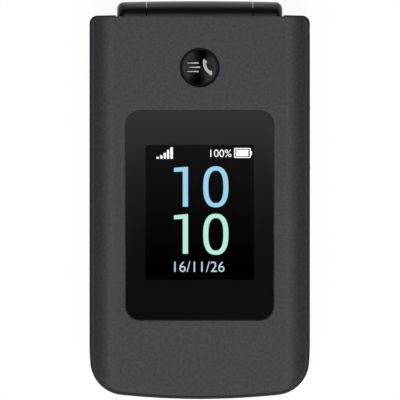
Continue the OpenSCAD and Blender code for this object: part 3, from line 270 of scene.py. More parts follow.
top = add_node(tree, "ShaderNodeMixShader", {0: looked_at, 1: table.outputs[0], 2: lit.outputs[0]})
clear = add_node(tree, "ShaderNodeBsdfTransparent")
below = add_node(tree, "ShaderNodeNewGeometry").outputs["Backfacing"]
both = add_node(tree, "ShaderNodeMixShader", {0: below, 1: top.outputs[0], 2: clear.outputs[0]})
add_node(tree, "ShaderNodeOutputMaterial", {0: both.outputs[0]})
mesh.materials.append(white)
new_object("white_floor", mesh)

# %% [markdown]
# ## Effects that several finishes share
# Most of the phone is paint, moulded plastic, rubber or sheet metal, and all of them have a fine grain
# that lightens and darkens the colour, roughens the gloss and lifts the surface. One group draws that
# grain at any size. It works on object coordinates in metres, so a grain of half a millimetre stays
# half a millimetre on every part.

# %% Group: surface grain
tree, given, out = new_group("surface grain",
                             {"Colour": (0.5, 0.5, 0.5), "Grain size mm": 0.5, "Mottle": 0.1,
                              "Roughness": 0.5, "Roughness spread": 0.1},
                             {"Colour": "Color", "Roughness": "Float", "Height": "Float"})
place = object_place(tree)
scale = math_node(tree, "DIVIDE", 1 / MM, given["Grain size mm"])
fine = add_node(tree, "ShaderNodeTexNoise",
                {"Vector": place, "Scale": scale, "Detail": 2.0, "Roughness": 0.6}).outputs[0]
cloud = add_node(tree, "ShaderNodeTexNoise", {"Vector": place, "Scale": 120.0, "Detail": 2.0})
swing = math_node(tree, "MULTIPLY_ADD", fine, 2.0, -1.0)
tone = math_node(tree, "MULTIPLY_ADD", swing, given["Mottle"], 1.0)
shade = add_node(tree, "ShaderNodeVectorMath", {0: given["Colour"], "Scale": tone}, operation="SCALE")
patch = math_node(tree, "MULTIPLY_ADD", cloud.outputs[0], 2.0, -1.0)
uneven = math_node(tree, "ADD", math_node(tree, "MULTIPLY", swing, 0.5), patch)
gloss = math_node(tree, "MULTIPLY_ADD", uneven, given["Roughness spread"], given["Roughness"], clamp=True)
feed(tree, out, Colour=shade.outputs[0], Roughness=gloss, Height=fine)

# %% [markdown]
# Handled gloss is never quite even: a cloth leaves faint clouds and hair lines that only show in the
# reflection. This group gives that as a roughness, and each glossy finish uses a little of it.

# %% Group: wiped gloss
tree, given, out = new_group("wiped gloss", {"Roughness": 0.05, "Haze": 0.1}, {"Roughness": "Float"})
place = object_place(tree)
wipe = add_node(tree, "ShaderNodeMapping",
                {"Vector": place, "Rotation": (0, 0, 0.6), "Scale": (900, 90, 300)})
hairs = add_node(tree, "ShaderNodeTexNoise", {"Vector": wipe.outputs[0], "Scale": 1.0, "Detail": 3.0})
cloud = add_node(tree, "ShaderNodeTexNoise", {"Vector": place, "Scale": 70.0, "Detail": 3.0})
clouds = math_node(tree, "SUBTRACT", cloud.outputs[0], 0.35, clamp=True)
mask = math_node(tree, "MULTIPLY", clouds, hairs.outputs[0])
feed(tree, out, Roughness=math_node(tree, "MULTIPLY_ADD", mask, given["Haze"], given["Roughness"]))

# %% [markdown]
# The round key and the ring have spun grooves. The group measures the distance from an axis and turns
# it into fine rings, uneven as real ones are.

# %% Group: turned rings
tree, given, out = new_group("turned rings",
                             {"Centre X mm": 0.0, "Centre Y mm": 0.0, "Pitch mm": 0.1},
                             {"Height": "Float", "Mask": "Float"})
part = parts_of(tree, object_place(tree))
away = [math_node(tree, "SUBTRACT", math_node(tree, "DIVIDE", part[i], MM), given[f"Centre {axis} mm"])
        for i, axis in enumerate("XY")]
squares = [math_node(tree, "MULTIPLY", length, length) for length in away]
radius = math_node(tree, "SQRT", math_node(tree, "ADD", *squares))
turns = math_node(tree, "DIVIDE", radius, given["Pitch mm"])
cut_depth = add_node(tree, "ShaderNodeTexNoise", {"W": turns, "Scale": 1.0, "Detail": 2.0},
                     noise_dimensions="1D").outputs[0]
feed(tree, out, Height=cut_depth, Mask=math_node(tree, "MULTIPLY_ADD", cut_depth, 2.0, -0.5, clamp=True))

# %% [markdown]
# Circuit boards show copper tracks under green lacquer. Straight tracks that turn at right angles come
# from two sets of thin bands whose offset jumps from cell to cell.

# %% Group: copper tracks
tree, given, out = new_group("copper tracks", {"Pitch mm": 1.0}, {"Track": "Float"})
place = object_place(tree)
part = parts_of(tree, place)
cells = add_node(tree, "ShaderNodeTexVoronoi", {"Vector": place, "Scale": 260.0}, distance="CHEBYCHEV")
kind = add_node(tree, "ShaderNodeSeparateColor", {0: cells.outputs["Color"]}).outputs
which = math_node(tree, "GREATER_THAN", kind[0], 0.5)
line = add_node(tree, "ShaderNodeMix", {0: which, 2: part[0], 3: part[1]}).outputs[0]
pitch = math_node(tree, "MULTIPLY", given["Pitch mm"], MM)
wave = math_node(tree, "FRACT", math_node(tree, "DIVIDE", line, pitch))
feed(tree, out, Track=math_node(tree, "LESS_THAN", wave, 0.35))
print("shader groups:", [g.name for g in bpy.data.node_groups if g.type == "SHADER"])

# %% [markdown]
# ## The finishes
# Paint, plastic, rubber, ink and sheet metal share a recipe and differ in darkness, gloss and grain, so
# one function makes them. The lid is painted a dark grey with a fine metallic flake: seen from above it
# is an even (74, 75, 77), and it falls to half of that where the surface turns away from the overhead
# light. That quick fall is what a flake paint does, so the paint is mostly metallic and only half
# rough. The frame, the two base housings and the keys are plastic with a spark-eroded texture.

# %% Paint, plastics, rubber, inks and sheet metal
def grained(name, colour, roughness, grain_mm=0.25, mottle=0.12, spread=0.06, lift_mm=0.004, **plain):
    made, tree, shader = new_material(name, colour, roughness, **plain)
    grain = place_group(tree, "surface grain", Colour=colour, Grain_size_mm=grain_mm, Mottle=mottle,
                        Roughness=roughness, Roughness_spread=spread)
    feed(tree, shader, Base_Color=grain["Colour"], Roughness=grain["Roughness"],
         Normal=bump(tree, grain["Height"], lift_mm))
    return made


SHEET_METAL = {"grain_mm": 0.4, "mottle": 0.1, "spread": 0.12, "lift_mm": 0.002, "Metallic": 1.0}
lid_paint = grained("lid_paint", (0.0978, 0.1002, 0.1056), 0.36, grain_mm=0.75, mottle=0.36, spread=0.05,
                    Metallic=0.74, Specular_Tint=(0.1, 0.1, 0.1), Specular_IOR_Level=0.3)
dark_plastic = grained("dark_plastic", (0.026, 0.026, 0.028), 0.42)
rear_plastic = grained("rear_plastic", (0.030, 0.031, 0.033), 0.5, grain_mm=0.35, lift_mm=0.008)
key_plastic = grained("key_plastic", (0.030, 0.030, 0.033), 0.38, grain_mm=0.3)
rubber = grained("rubber", (0.018, 0.018, 0.018), 0.75, grain_mm=0.6, lift_mm=0.01)
battery_wrap = grained("battery_wrap", (0.035, 0.037, 0.042), 0.45, grain_mm=0.5)
legend_ink = grained("legend_ink", (0.78, 0.79, 0.80), 0.45, mottle=0.04)
key_ink = grained("key_ink", (0.44, 0.44, 0.44), 0.5, mottle=0.05)
call_green = grained("call_green", (0.05, 0.55, 0.14), 0.45, mottle=0.05)
end_red = grained("end_red", (0.65, 0.045, 0.04), 0.45, mottle=0.05)
camera_ring_ink = grained("camera_ring_ink", (0.01, 0.01, 0.011), 0.3)
flex_film = grained("flex_film", (0.42, 0.17, 0.03), 0.35, grain_mm=0.8)
label_film = grained("label_film", (0.32, 0.33, 0.34), 0.4, grain_mm=0.7, mottle=0.05)
steel = grained("steel", (0.52, 0.53, 0.55), 0.3, **SHEET_METAL)
dark_steel = grained("dark_steel", (0.045, 0.045, 0.048), 0.4, **SHEET_METAL)
contact_gold = grained("contact_gold", (0.72, 0.5, 0.2), 0.25, **SHEET_METAL)

# %% [markdown]
# The hinge barrel and the window's border are high-gloss black. Only the reflection shows, so their
# colour is nearly nothing and the wiped gloss keeps the reflection from being perfect.

# %% Gloss black and the glasses
def glossy(name, colour, roughness, haze, **plain):
    made, tree, shader = new_material(name, colour, roughness, **plain)
    wiped = place_group(tree, "wiped gloss", Roughness=roughness, Haze=haze)
    feed(tree, shader, Roughness=wiped["Roughness"])
    return made


gloss_black = glossy("gloss_black", (0.004, 0.004, 0.004), 0.10, 0.25)
black_glass = glossy("black_glass", (0.0022, 0.0022, 0.0025), 0.02, 0.05)
camera_glass = glossy("camera_glass", (0.004, 0.006, 0.012), 0.01, 0.03, Coat_Weight=0.6)
display_black = glossy("display_black", (0.0008, 0.0008, 0.0011), 0.04, 0.04, Specular_IOR_Level=0.1)
clear_pane = glossy("clear_pane", (1.0, 1.0, 1.0), 0.0, 0.03, Transmission_Weight=1.0, IOR=1.42)

# %% [markdown]
# The border printed under the window is black ink. A reflection is painted over it: a tint that is lighter
# near the hinge and fades to black below the window's middle, and that depends only on how far down the
# window a point lies. The ink is bonded to the glass, so it has no gloss of its own: the shine comes from
# the pane above it.

# %% The window's printed border and its painted reflection
PAINTED_REFLECTION_FOOT, PAINTED_REFLECTION_HEAD = -0.020, 0.0233

window_print_painted_reflection, tree, shader = new_material("window_print_painted_reflection", (0.004, 0.004, 0.005), 0.8, Specular_IOR_Level=0.0)
share = map_range(tree, parts_of(tree, object_place(tree))[1], PAINTED_REFLECTION_FOOT, PAINTED_REFLECTION_HEAD)
# Painted reflection: the border's colour is lighter towards the hinge and darker down the window.
painted_reflection = ramp_node(tree, share, [(0.0, (0.0260, 0.029, 0.033)), (0.27, (0.032, 0.034, 0.036)),
                               (0.46, (0.044, 0.047, 0.048)), (0.66, (0.072, 0.075, 0.078)),
                               (0.85, (0.121, 0.125, 0.134)), (1.0, (0.150, 0.155, 0.166))])
specks = place_group(tree, "surface grain", Colour=painted_reflection, Grain_size_mm=0.2, Mottle=0.06, Roughness=0.8,
                     Roughness_spread=0.03)
feed(tree, shader, Base_Color=specks["Colour"], Roughness=specks["Roughness"])

# %% [markdown]
# The round key is black spun metal: its grooves smear a highlight into a bow tie, which an anisotropic
# shader with a tangent that runs round the axis gives. The ring round the keypad's centre key is spun
# in the same way. The boards show only when a cover is off, yet they still get their tracks.

# %% Spun metal and circuit board
def spun_metal(name, colour, roughness, centre_y, pitch, anisotropy):
    made, tree, shader = new_material(name, colour, roughness, Metallic=1.0, Anisotropic=anisotropy,
                                      Anisotropic_Rotation=0.25)
    rings = place_group(tree, "turned rings", Centre_Y_mm=centre_y, Pitch_mm=pitch)
    feed(tree, shader, Normal=bump(tree, rings["Height"], 0.002),
         Tangent=add_node(tree, "ShaderNodeTangent", direction_type="RADIAL", axis="Z").outputs[0],
         Roughness=math_node(tree, "MULTIPLY_ADD", rings["Mask"], 0.06, roughness))
    return made


HOT_KEY_Y, RING_Y = box_mm("hot_key").middle.y, box_mm("nav_ring").middle.y
turned_black = spun_metal("turned_black", (0.045, 0.045, 0.046), 0.07, HOT_KEY_Y, 0.07, 0.85)
ring_metal = spun_metal("ring_metal", (0.16, 0.16, 0.17), 0.25, RING_Y, 0.09, 0.6)

board, tree, shader = new_material("board", (0.02, 0.09, 0.045), 0.35)
track = place_group(tree, "copper tracks", Pitch_mm=0.9)["Track"]
feed(tree, shader, Base_Color=mix_colour(tree, track, (0.012, 0.06, 0.03, 1), (0.03, 0.13, 0.06, 1)),
     Normal=bump(tree, track, 0.02))

# %% [markdown]
# The little display glows. Its marks are drawn as thin plates in the panel, each with the colour that
# the portrait shows, and the glow is set so that the colour arrives as written through the pane.

# %% Glowing marks
PANE_LOSS_GAIN = 1.12


def glowing(name, colour):
    made, tree, shader = new_material(name, (0.0, 0.0, 0.0), 0.5, Emission_Strength=PANE_LOSS_GAIN)
    pixels = place_group(tree, "surface grain", Colour=colour, Grain_size_mm=0.15, Mottle=0.05,
                         Roughness_spread=0.0)
    feed(tree, shader, Emission_Color=pixels["Colour"])
    return made


glow_white = glowing("glow_white", (0.95, 0.96, 0.98))
glow_blue = glowing("glow_blue", (0.30, 0.60, 0.79))
glow_green = glowing("glow_green", (0.44, 0.79, 0.65))
glow_pale = glowing("glow_pale", (0.44, 0.57, 0.69))
print("materials:", len(bpy.data.materials))

# %% [markdown]
# ## Mesh helpers
# Every housing is a plate with one outline and some holes, rounded at its edges. Such a shape can be
# built from rings: the outline is repeated at several heights and insets, neighbouring rings are joined
# by strips, and a flat face is stretched between the last ring and the rims of the holes. We compute the
# outline from the same arcs as the CAD, so the pieces fit to a hundredth of a millimetre.

# %% Loops of points, in millimetres
HALF_W, HALF_L = 28.8, 52.0
BOW_R, CORNER_R, EASE_R, EASE_H = 197.0, 9.0, 65.0, 14.7


def arc(cx, cy, r, start, end, steps):
    """Points on an arc, with angles in radians."""
    turns = [start + (end - start) / steps * i for i in range(steps + 1)]
    return [(cx + r * math.cos(a), cy + r * math.sin(a)) for a in turns]


def quarter(steps):
    """Angles from nothing to a right angle."""
    return [math.pi / 2 * i / steps for i in range(steps + 1)]


def rounding(w, h, steps):
    """A quarter round, from the wall to the face, as pairs of how far in and how far below the face."""
    return [(w * (1 - math.cos(a)), h * (1 - math.sin(a))) for a in quarter(steps)]


def placed(points, x, y, angle=0, size=1.0):
    """Points turned by an angle in degrees, scaled, and moved to x and y."""
    c, s = size * math.cos(math.radians(angle)), size * math.sin(math.radians(angle))
    return [(x + u * c - v * s, y + u * s + v * c) for u, v in points]


def spokes(arm, count, x, y, start=0):
    """An outline of equal arms round a centre, from the points of one arm."""
    return [p for i in range(count) for p in placed(arm, x, y, start + 360 / count * i)]


def corner_centre():
    """Centre of the bottom corner: where two circles about the bow's and the side's centres cross."""
    ax, ay, ra = 0.0, BOW_R - HALF_L, BOW_R - CORNER_R
    bx, by, rb = HALF_W - EASE_R, EASE_H - HALF_L, EASE_R - CORNER_R
    gap = math.hypot(bx - ax, by - ay)
    ux, uy = (bx - ax) / gap, (by - ay) / gap
    near = (ra * ra - rb * rb + gap * gap) / (2 * gap)
    off = math.sqrt(ra * ra - near * near)
    return ax + near * ux - off * uy, ay + near * uy + off * ux


CORNER_X, CORNER_Y = corner_centre()
BOW_TURN = math.atan2(CORNER_Y - BOW_R + HALF_L, CORNER_X)
EASE_TURN = math.atan2(CORNER_Y - EASE_H + HALF_L, CORNER_X - HALF_W + EASE_R)


def phone_outline(inset, y_top, top_r, notch, bow=0.0):
    """The phone's outline drawn in by inset. The top edge is cut down to the notch's y nearer than its x."""
    notch_x, notch_y = notch
    top_r = max(top_r - inset, 0.25)
    level = y_top - inset
    right = (arc(0, BOW_R - HALF_L, BOW_R - inset, -math.pi / 2, BOW_TURN, 24)
             + arc(CORNER_X, CORNER_Y, CORNER_R - inset, BOW_TURN, EASE_TURN, 20)[1:]
             + arc(HALF_W - EASE_R, EASE_H - HALF_L, EASE_R - inset, EASE_TURN, 0, 8)[1:]
             + [(HALF_W - inset, y) for y in (-20, 0, 20)]
             + arc(HALF_W - inset - top_r, level - top_r, top_r, 0, math.pi / 2, 8))
    start = right[-1][0]
    right += [(start + (notch_x - start) * i / 6, level) for i in range(1, 6)]
    right += [(notch_x + inset * 0.02, level), notch]
    right = [(x, y - bow * (x / HALF_W) ** 2 if y > 30 else y) for x, y in right]
    return right + [(-x, y) for x, y in reversed(right[1:])]


def round_box(w, l, r, x=0.0, y=0.0, steps=6):
    half_w, half_l = w / 2 - r, l / 2 - r
    quarters = [(1, -1, -90), (1, 1, 0), (-1, 1, 90), (-1, -1, 180)]
    return [p for sx, sy, a in quarters
            for p in arc(x + sx * half_w, y + sy * half_l, r, math.radians(a), math.radians(a + 90), steps)]


def rectangle(w, l, x=0.0, y=0.0):
    return [(x + w / 2 * sx, y + l / 2 * sy) for sx, sy in ((-1, -1), (1, -1), (1, 1), (-1, 1))]


def disc(r, x=0.0, y=0.0, steps=64):
    return arc(x, y, r, 0, 2 * math.pi, steps)[:-1]


def box_plan(w, l, r, x=0.0, y=0.0, steps=6, least=0.0):
    """A rounded rectangle, as a function of how far it is drawn in. Its corners stay at least so round."""
    return lambda inset: round_box(w - 2 * inset, l - 2 * inset, max(r - inset, least), x, y, steps)


def disc_plan(r, x=0.0, y=0.0, steps=64):
    return lambda inset: disc(r - inset, x, y, steps)


def rim(plan, z, depth, ease, up=1):
    """Rings that lead from a flat face at z into a hole, over a rounded rim."""
    return [(plan(-out), z - up * drop) for drop, out in rounding(ease, ease, 3)] + [(plan(0), depth)]


# %% [markdown]
# A small class collects the rings, strips and faces of one piece and turns them into a Blender object.
# It rides the object on its body, hides the CAD node that it stands for, smooths it by angle, and weights
# the normals by face area so that flat faces stay flat up to their rims.

# %% The ring-and-strip builder
class Moulding:
    """The mesh of one piece. Its rings lie flat and are stacked along Z, or along X when it is sideways."""

    def __init__(self, sideways=False):
        self.mesh = bmesh.new()
        self.sideways = sideways

    def ring(self, points, level):
        spots = [(u, v, level(u, v) if callable(level) else level) for u, v in points]
        if self.sideways:
            spots = [(w, u, v) for u, v, w in spots]
        return [self.mesh.verts.new((x * MM, y * MM, z * MM)) for x, y, z in spots]

    def strip(self, first, second):
        for i in range(len(first)):
            self.mesh.faces.new((first[i - 1], first[i], second[i], second[i - 1]))

    def wall(self, stack, start=None):
        """Joins rings given as (points, level) pairs, and returns the first and the last ring."""
        rings = ([start] if start else []) + [self.ring(points, level) for points, level in stack]
        for first, second in zip(rings, rings[1:]):
            self.strip(first, second)
        return rings[0], rings[-1]

    def face(self, outer, *holes):
        """A flat face inside one ring and outside the others."""
        if not holes:
            self.mesh.faces.new(outer)
            return
        pairs = [(ring[i - 1], ring[i]) for ring in (outer, *holes) for i in range(len(ring))]
        edges = [self.mesh.edges.get(pair) or self.mesh.edges.new(pair) for pair in pairs]
        bmesh.ops.triangle_fill(self.mesh, use_beauty=True, use_dissolve=False, edges=edges)

    def solid(self, stack):
        """A closed body from a stack of rings with a flat face at each end."""
        first, last = self.wall(stack)
        self.face(first)
        self.face(last)

    def slab(self, points, level, thickness):
        self.solid([(points, level), (points, level + thickness)])

    def band(self, outer, inner, level, thickness):
        """A plate between two outlines."""
        out_low, out_high = self.wall([(outer, level), (outer, level + thickness)])
        in_low, in_high = self.wall([(inner, level), (inner, level + thickness)])
        self.face(out_low, in_low)
        self.face(out_high, in_high)

    def turn(self, profile, u=0.0, v=0.0, steps=96, hollow=False):
        """A turned body from (radius, level) points: from axis to axis, or a closed loop if hollow."""
        rings = [self.ring(disc(r, u, v, steps), level) for r, level in profile]
        for first, second in zip(rings, rings[1:] + (rings[:1] if hollow else [])):
            self.strip(first, second)
        if not hollow:
            self.face(rings[0])
            self.face(rings[-1])

    def finish(self, name, body, material, slot=None, replaces=None, limit=32):
        """Makes the object. The slot argument is not used."""
        bmesh.ops.recalc_face_normals(self.mesh, faces=self.mesh.faces)
        self.mesh.normal_update()
        for edge in self.mesh.edges:
            edge.smooth = edge.calc_face_angle(0) <= math.radians(limit)
        for face in self.mesh.faces:
            face.smooth = True
        open_edges = sum(len(edge.link_faces) != 2 for edge in self.mesh.edges)
        mesh = bpy.data.meshes.new(name)
        self.mesh.to_mesh(mesh)
        self.mesh.free()
        mesh.materials.append(material)
        obj = new_object(name, mesh)
        obj.modifiers.new("flat faces stay flat", "WEIGHTED_NORMAL").keep_sharp = True
        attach(obj, body)
        if replaces:
            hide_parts(replaces)
        print(f"{name}: {len(mesh.polygons)} faces, {open_edges} open edges")


# %% [markdown]
# ## The lid's painted cover
# The cover is the largest surface in the portrait. It is flat in the middle, rolls down along both
# sides over a band six millimetres wide, and has a small rounded edge all round. Rings follow the
# outline inwards: near the edge they drop on a small radius, and where they lie beyond the flat part
# they also drop on the long one. The window and the round key sit in clean holes with rounded rims.

# %% Build the lid's cover
LID_Z, SEAM_Z, COVER_UNDER, COVER_WALL_TOP, LENS_SEAT = 19.5, 13.4, 18.3, 16.44, 18.65
COVER_INSET, COVER_WALL, COVER_END, COVER_BOW, COVER_STRETCH = 0.96, 1.1, 48.14, 0.4, 1.0108
FLAT_INSET, BAND_W, BAND_R, EDGE_R, SHOULDER_R = 6.9, 6.0, 11.0, 0.42, 2.0
HINGE_Y, HINGE_Z, TROUGH_R, TROUGH_X = 47.0, 11.0, 5.3, 21.85
HOT_KEY_R, KEY_RIM, GAP, LENS_R, LEDGE_W = 4.9, 0.4, 0.1, 3.75, 1.5
lens = box_mm("outer_lens")
LENS_W, LENS_L, LENS_Y = lens.size.x, lens.size.y, lens.middle.y


def crown_drop(x):
    """How far the long radius has dropped at x."""
    out = max(abs(x) - (HALF_W - FLAT_INSET), 0.0)
    return BAND_R - math.sqrt(BAND_R ** 2 - out ** 2)


def edge_drop(inset):
    """How far the rounded edge has dropped at a distance in from the wall."""
    return EDGE_R - math.sqrt(EDGE_R ** 2 - (EDGE_R - inset) ** 2) if inset < EDGE_R else 0.0


def cover_ring(inset):
    ring = phone_outline(COVER_INSET + inset, COVER_END + COVER_INSET, SHOULDER_R + COVER_INSET,
                         (TROUGH_X, COVER_END - inset - 0.001), COVER_BOW)
    return [(x * COVER_STRETCH, y) for x, y in ring]


def cover_foot(x, y):
    """Height of the cover's foot: the seam, or the hinge's trough where it lies over the barrel."""
    if abs(x) > TROUGH_X * COVER_STRETCH + 0.01 or y <= HINGE_Y - TROUGH_R:
        return SEAM_Z
    return HINGE_Z + math.sqrt(max(TROUGH_R ** 2 - (y - HINGE_Y) ** 2, 0.0))


cover = Moulding()
insets = [EDGE_R * (1 - math.cos(a)) for a in quarter(6)] + [1.25, 1.8, 2.4, 3.0, 3.7, 4.4, 5.2, BAND_W]
foot, crown = cover.wall([(cover_ring(0), cover_foot)] + [
    (cover_ring(i), lambda x, y, i=i: LID_Z - crown_drop(x) - edge_drop(i)) for i in insets])
_, ceiling = cover.wall([(cover_ring(COVER_WALL), cover_foot), (cover_ring(COVER_WALL), COVER_WALL_TOP),
                         (cover_ring(BAND_W), COVER_UNDER)], start=foot)
lens_hole = box_plan(LENS_W + 2 * GAP, LENS_L + 2 * GAP, LENS_R + GAP, 0, LENS_Y, 8)
view_hole = round_box(LENS_W - 2 * LEDGE_W, LENS_L - 2 * LEDGE_W, LENS_R - LEDGE_W / 2, 0, LENS_Y, 8)
lens_rim, lens_foot = cover.wall(rim(lens_hole, LID_Z, LENS_SEAT, 0.15)
                                 + [(view_hole, LENS_SEAT), (view_hole, COVER_UNDER)])
key_rim, key_foot = cover.wall(rim(disc_plan(HOT_KEY_R + GAP, 0, HOT_KEY_Y), LID_Z, COVER_UNDER, KEY_RIM))
cover.face(crown, lens_rim, key_rim)
cover.face(ceiling, lens_foot, key_foot)
cover.finish("lid_cover_painted", "lid", lid_paint, replaces="lid_front_cover")

# %% [markdown]
# ## The window
# The window is a clear pane of hardened glass, flush with the paint, with a black border printed on its
# underside. Behind it sits the little display. Making pane, border and panel as three pieces gives the
# depth that a painted picture would lack: the marks lie about a millimetre behind the reflection.

# %% Build the pane, its printed border and the panel
ACTIVE_W, ACTIVE_L, ACTIVE_Y = 28.0, 34.9, -3.2
PANE_BACK, PANE_EDGE, PRINT_Z, PRINT_T = 18.7, 0.12, 18.66, 0.03


def glaze(name, plan, back, face, chamfer, node):
    """A pane with a small chamfer round its back and a rounded edge round its face."""
    out = math.copysign(1, face - back)
    edge = [(plan(inset), face - out * drop) for inset, drop in rounding(PANE_EDGE, PANE_EDGE, 3)]
    pane = Moulding()
    pane.solid([(plan(chamfer), back), (plan(0), back + out * chamfer), *edge])
    pane.finish(name, "lid", clear_pane, "black_glass", node)


window_plan = box_plan(LENS_W, LENS_L, LENS_R, 0, LENS_Y, 8)
glaze("window_pane", window_plan, PANE_BACK, LID_Z, 0.08, "outer_lens")

border = Moulding()
opening = round_box(ACTIVE_W + 0.2, ACTIVE_L + 0.2, 0.4, 0, ACTIVE_Y, 4)
border.band(window_plan(0.1), opening, PRINT_Z, PRINT_T)
border.finish("window_border_print", "lid", window_print_painted_reflection, "gloss_black")

panel = Moulding()
small = box_mm("outer_display")
plan = box_plan(small.size.x, small.size.y, 0.75, 0, small.middle.y, 4, least=0.75)
panel.solid([(plan(0), small.low.z), (plan(0), small.middle.z), (plan(0.75), small.middle.z),
             (plan(0.75), small.high.z - 0.05), (plan(0.8), small.high.z)])
panel.finish("small_display_panel", "lid", display_black, replaces="outer_display")

# %% [markdown]
# ## What the little display shows
# The clock's figures are tall and thin, so they are drawn from their own outlines: a stem with a flag
# for the one, and a ring between two ovals for the nought. The small figures come from the font that is
# built into Blender, turned into a mesh and scaled to the height measured. There are only plain
# numbers and generic marks on this display: five signal bars, a battery and its charge.

# %% Helpers for marks
PIXEL, PORTRAIT_X, PORTRAIT_Y = 0.26137, 199.70, 200.0
MARK = (18.26, 0.02)


def at_pixel(px, py):
    """A place on the lid's face for a place in the 400-pixel portrait."""
    return (px - PORTRAIT_X) * PIXEL, (PORTRAIT_Y - py) * PIXEL


def pixel_box(px, py, w, l, r):
    return round_box(w * PIXEL, l * PIXEL, r, *at_pixel(px, py), 3)


def oval(centre, half_w, half_l, power, steps=72):
    """An oval that is squarer than an ellipse, as far as its power is above two."""
    def side(v):
        return math.copysign(abs(v) ** (2 / power), v)
    return [(centre[0] + half_w * side(math.cos(a)), centre[1] + half_l * side(math.sin(a)))
            for a in (2 * math.pi * i / steps for i in range(steps))]


def write_numbers(moulding, text, height, centre, level, thickness):
    """Adds figures from Blender's own font, height mm tall, about a centre."""
    curve = bpy.data.curves.new("figures", "FONT")
    curve.body = text
    curve.extrude = 0.05
    curve.resolution_u = 5
    holder = new_object("figures", curve)
    cut = bpy.data.meshes.new_from_object(holder.evaluated_get(bpy.context.evaluated_depsgraph_get()))
    bpy.data.objects.remove(holder)
    xs, ys = ([vert.co[axis] for vert in cut.vertices] for axis in (0, 1))
    scale = height / (max(ys) - min(ys))
    middle_x, middle_y = (max(xs) + min(xs)) / 2, (max(ys) + min(ys)) / 2
    for vert in cut.vertices:
        x, y = (vert.co.x - middle_x) * scale + centre[0], (vert.co.y - middle_y) * scale + centre[1]
        vert.co = Vector((x, y, level + (thickness if vert.co.z > 0 else 0.0))) * MM
    moulding.mesh.from_mesh(cut)
    bmesh.ops.remove_doubles(moulding.mesh, verts=moulding.mesh.verts, dist=1e-7)
    bpy.data.meshes.remove(cut)


# %% [markdown]
# The places of the marks were read off the portrait, so they are written in its pixels. Both rows of
# the clock share their columns and differ in where the one and the nought begin and end.

# %% Draw the clock
STEM_LEFT, STEM_RIGHT, FLAG_LEFT, FLAG_DROP, FLAG_RISE = 182.8, 188.05, 174.0, 1.3, 0.5
NOUGHT_X, NOUGHT_HALF_W, NOUGHT_SIDE, NOUGHT_CAP = 215.8, 12.6, 5.1, 4.3
CLOCK_ROWS = {"clock_hours": (glow_blue, (166.7, 206.7), 172.0, (166.4, 207.3)),
              "clock_minutes": (glow_green, (214.0, 253.7), 219.3, (213.7, 254.7))}

for name, (glow_material, (one_top, one_foot), flag_foot, (nought_top, nought_foot)) in CLOCK_ROWS.items():
    pair = Moulding()
    stem = [(STEM_LEFT, one_foot), (STEM_RIGHT, one_foot), (STEM_RIGHT, one_top),
            (FLAG_LEFT, one_top + FLAG_DROP), (FLAG_LEFT, flag_foot), (STEM_LEFT, flag_foot - FLAG_RISE)]
    pair.slab([at_pixel(*p) for p in stem], *MARK)
    centre = at_pixel(NOUGHT_X, (nought_top + nought_foot) / 2)
    half_w, half_l = NOUGHT_HALF_W * PIXEL, (nought_foot - nought_top) / 2 * PIXEL
    inner = oval(centre, half_w - NOUGHT_SIDE * PIXEL, half_l - NOUGHT_CAP * PIXEL, 2.5)
    pair.band(oval(centre, half_w, half_l, 2.45), inner, *MARK)
    pair.finish(name, "lid", glow_material, "display_black")

# %% Draw the status marks and the date
SIGNAL_FOOT = 158.9
SIGNAL_BARS = [(156.6, 159.0, 156.9), (160.2, 162.6, 155.3), (163.8, 166.1, 152.9), (167.0, 169.3, 150.0),
               (170.4, 173.0, 147.4)]
CELL_X, CELL_Y, CELL_W, CELL_L, CELL_LINE = 242.35, 153.05, 16.7, 9.9, 1.1
CHARGE_X, CHARGE_W, CHARGE_L, KNOB_X, KNOB_Y, KNOB_L = 242.1, 12.4, 6.3, 251.3, 153.2, 4.2
PERCENT_X, PERCENT_Y, PERCENT_H = 220.9, 153.4, 7.6
DATE_X, DATE_Y, DATE_H = 199.4, 266.6, 10.6

status = Moulding()
for left, right, head in SIGNAL_BARS:
    middle = ((left + right) / 2, (SIGNAL_FOOT + head) / 2)
    status.slab(pixel_box(*middle, right - left, SIGNAL_FOOT - head, 0.12), *MARK)
status.band(pixel_box(CELL_X, CELL_Y, CELL_W, CELL_L, 0.25),
            pixel_box(CELL_X, CELL_Y, CELL_W - 2 * CELL_LINE, CELL_L - 2 * CELL_LINE, 0.12), *MARK)
status.slab(pixel_box(CHARGE_X, CELL_Y, CHARGE_W, CHARGE_L, 0.1), *MARK)
status.slab(pixel_box(KNOB_X, KNOB_Y, CELL_LINE, KNOB_L, 0.08), *MARK)
write_numbers(status, "100%", PERCENT_H * PIXEL, at_pixel(PERCENT_X, PERCENT_Y), *MARK)
status.finish("status_marks", "lid", glow_white, "display_black")

date = Moulding()
write_numbers(date, "16/11/26", DATE_H * PIXEL, at_pixel(DATE_X, DATE_Y), *MARK)
date.finish("date_numbers", "lid", glow_pale, "display_black")

# %% [markdown]
# ## The round key
# The key is turned from black metal: a soft rim that leads into a shallow dish with spun rings. It is
# one turned profile. A handset with three plain bars is printed in its dish.

# %% Turn the round key
DISH_FOOT, DISH_R, DISH_DEPTH = 19.19, 4.64, 0.17


def dish(x, y):
    return DISH_FOOT + DISH_DEPTH * ((x * x + (y - HOT_KEY_Y) ** 2) / DISH_R ** 2)


key = Moulding()
profile = [(1.4, 17.05), (1.4, 17.7), (5.72, 17.7), (5.72, 18.2), (HOT_KEY_R, 18.2), (HOT_KEY_R, 19.12),
           (4.885, 19.2), (4.85, 19.26), (4.8, 19.31), (4.73, 19.345), (DISH_R, DISH_FOOT + DISH_DEPTH)]
profile += [(r, dish(r, HOT_KEY_Y)) for r in (4.3, 3.6, 2.9, 2.2, 1.5, 0.8, 0.2)]
key.turn(profile, 0, HOT_KEY_Y)
key.finish("round_key_turned", "round_key", turned_black, replaces="hot_key")

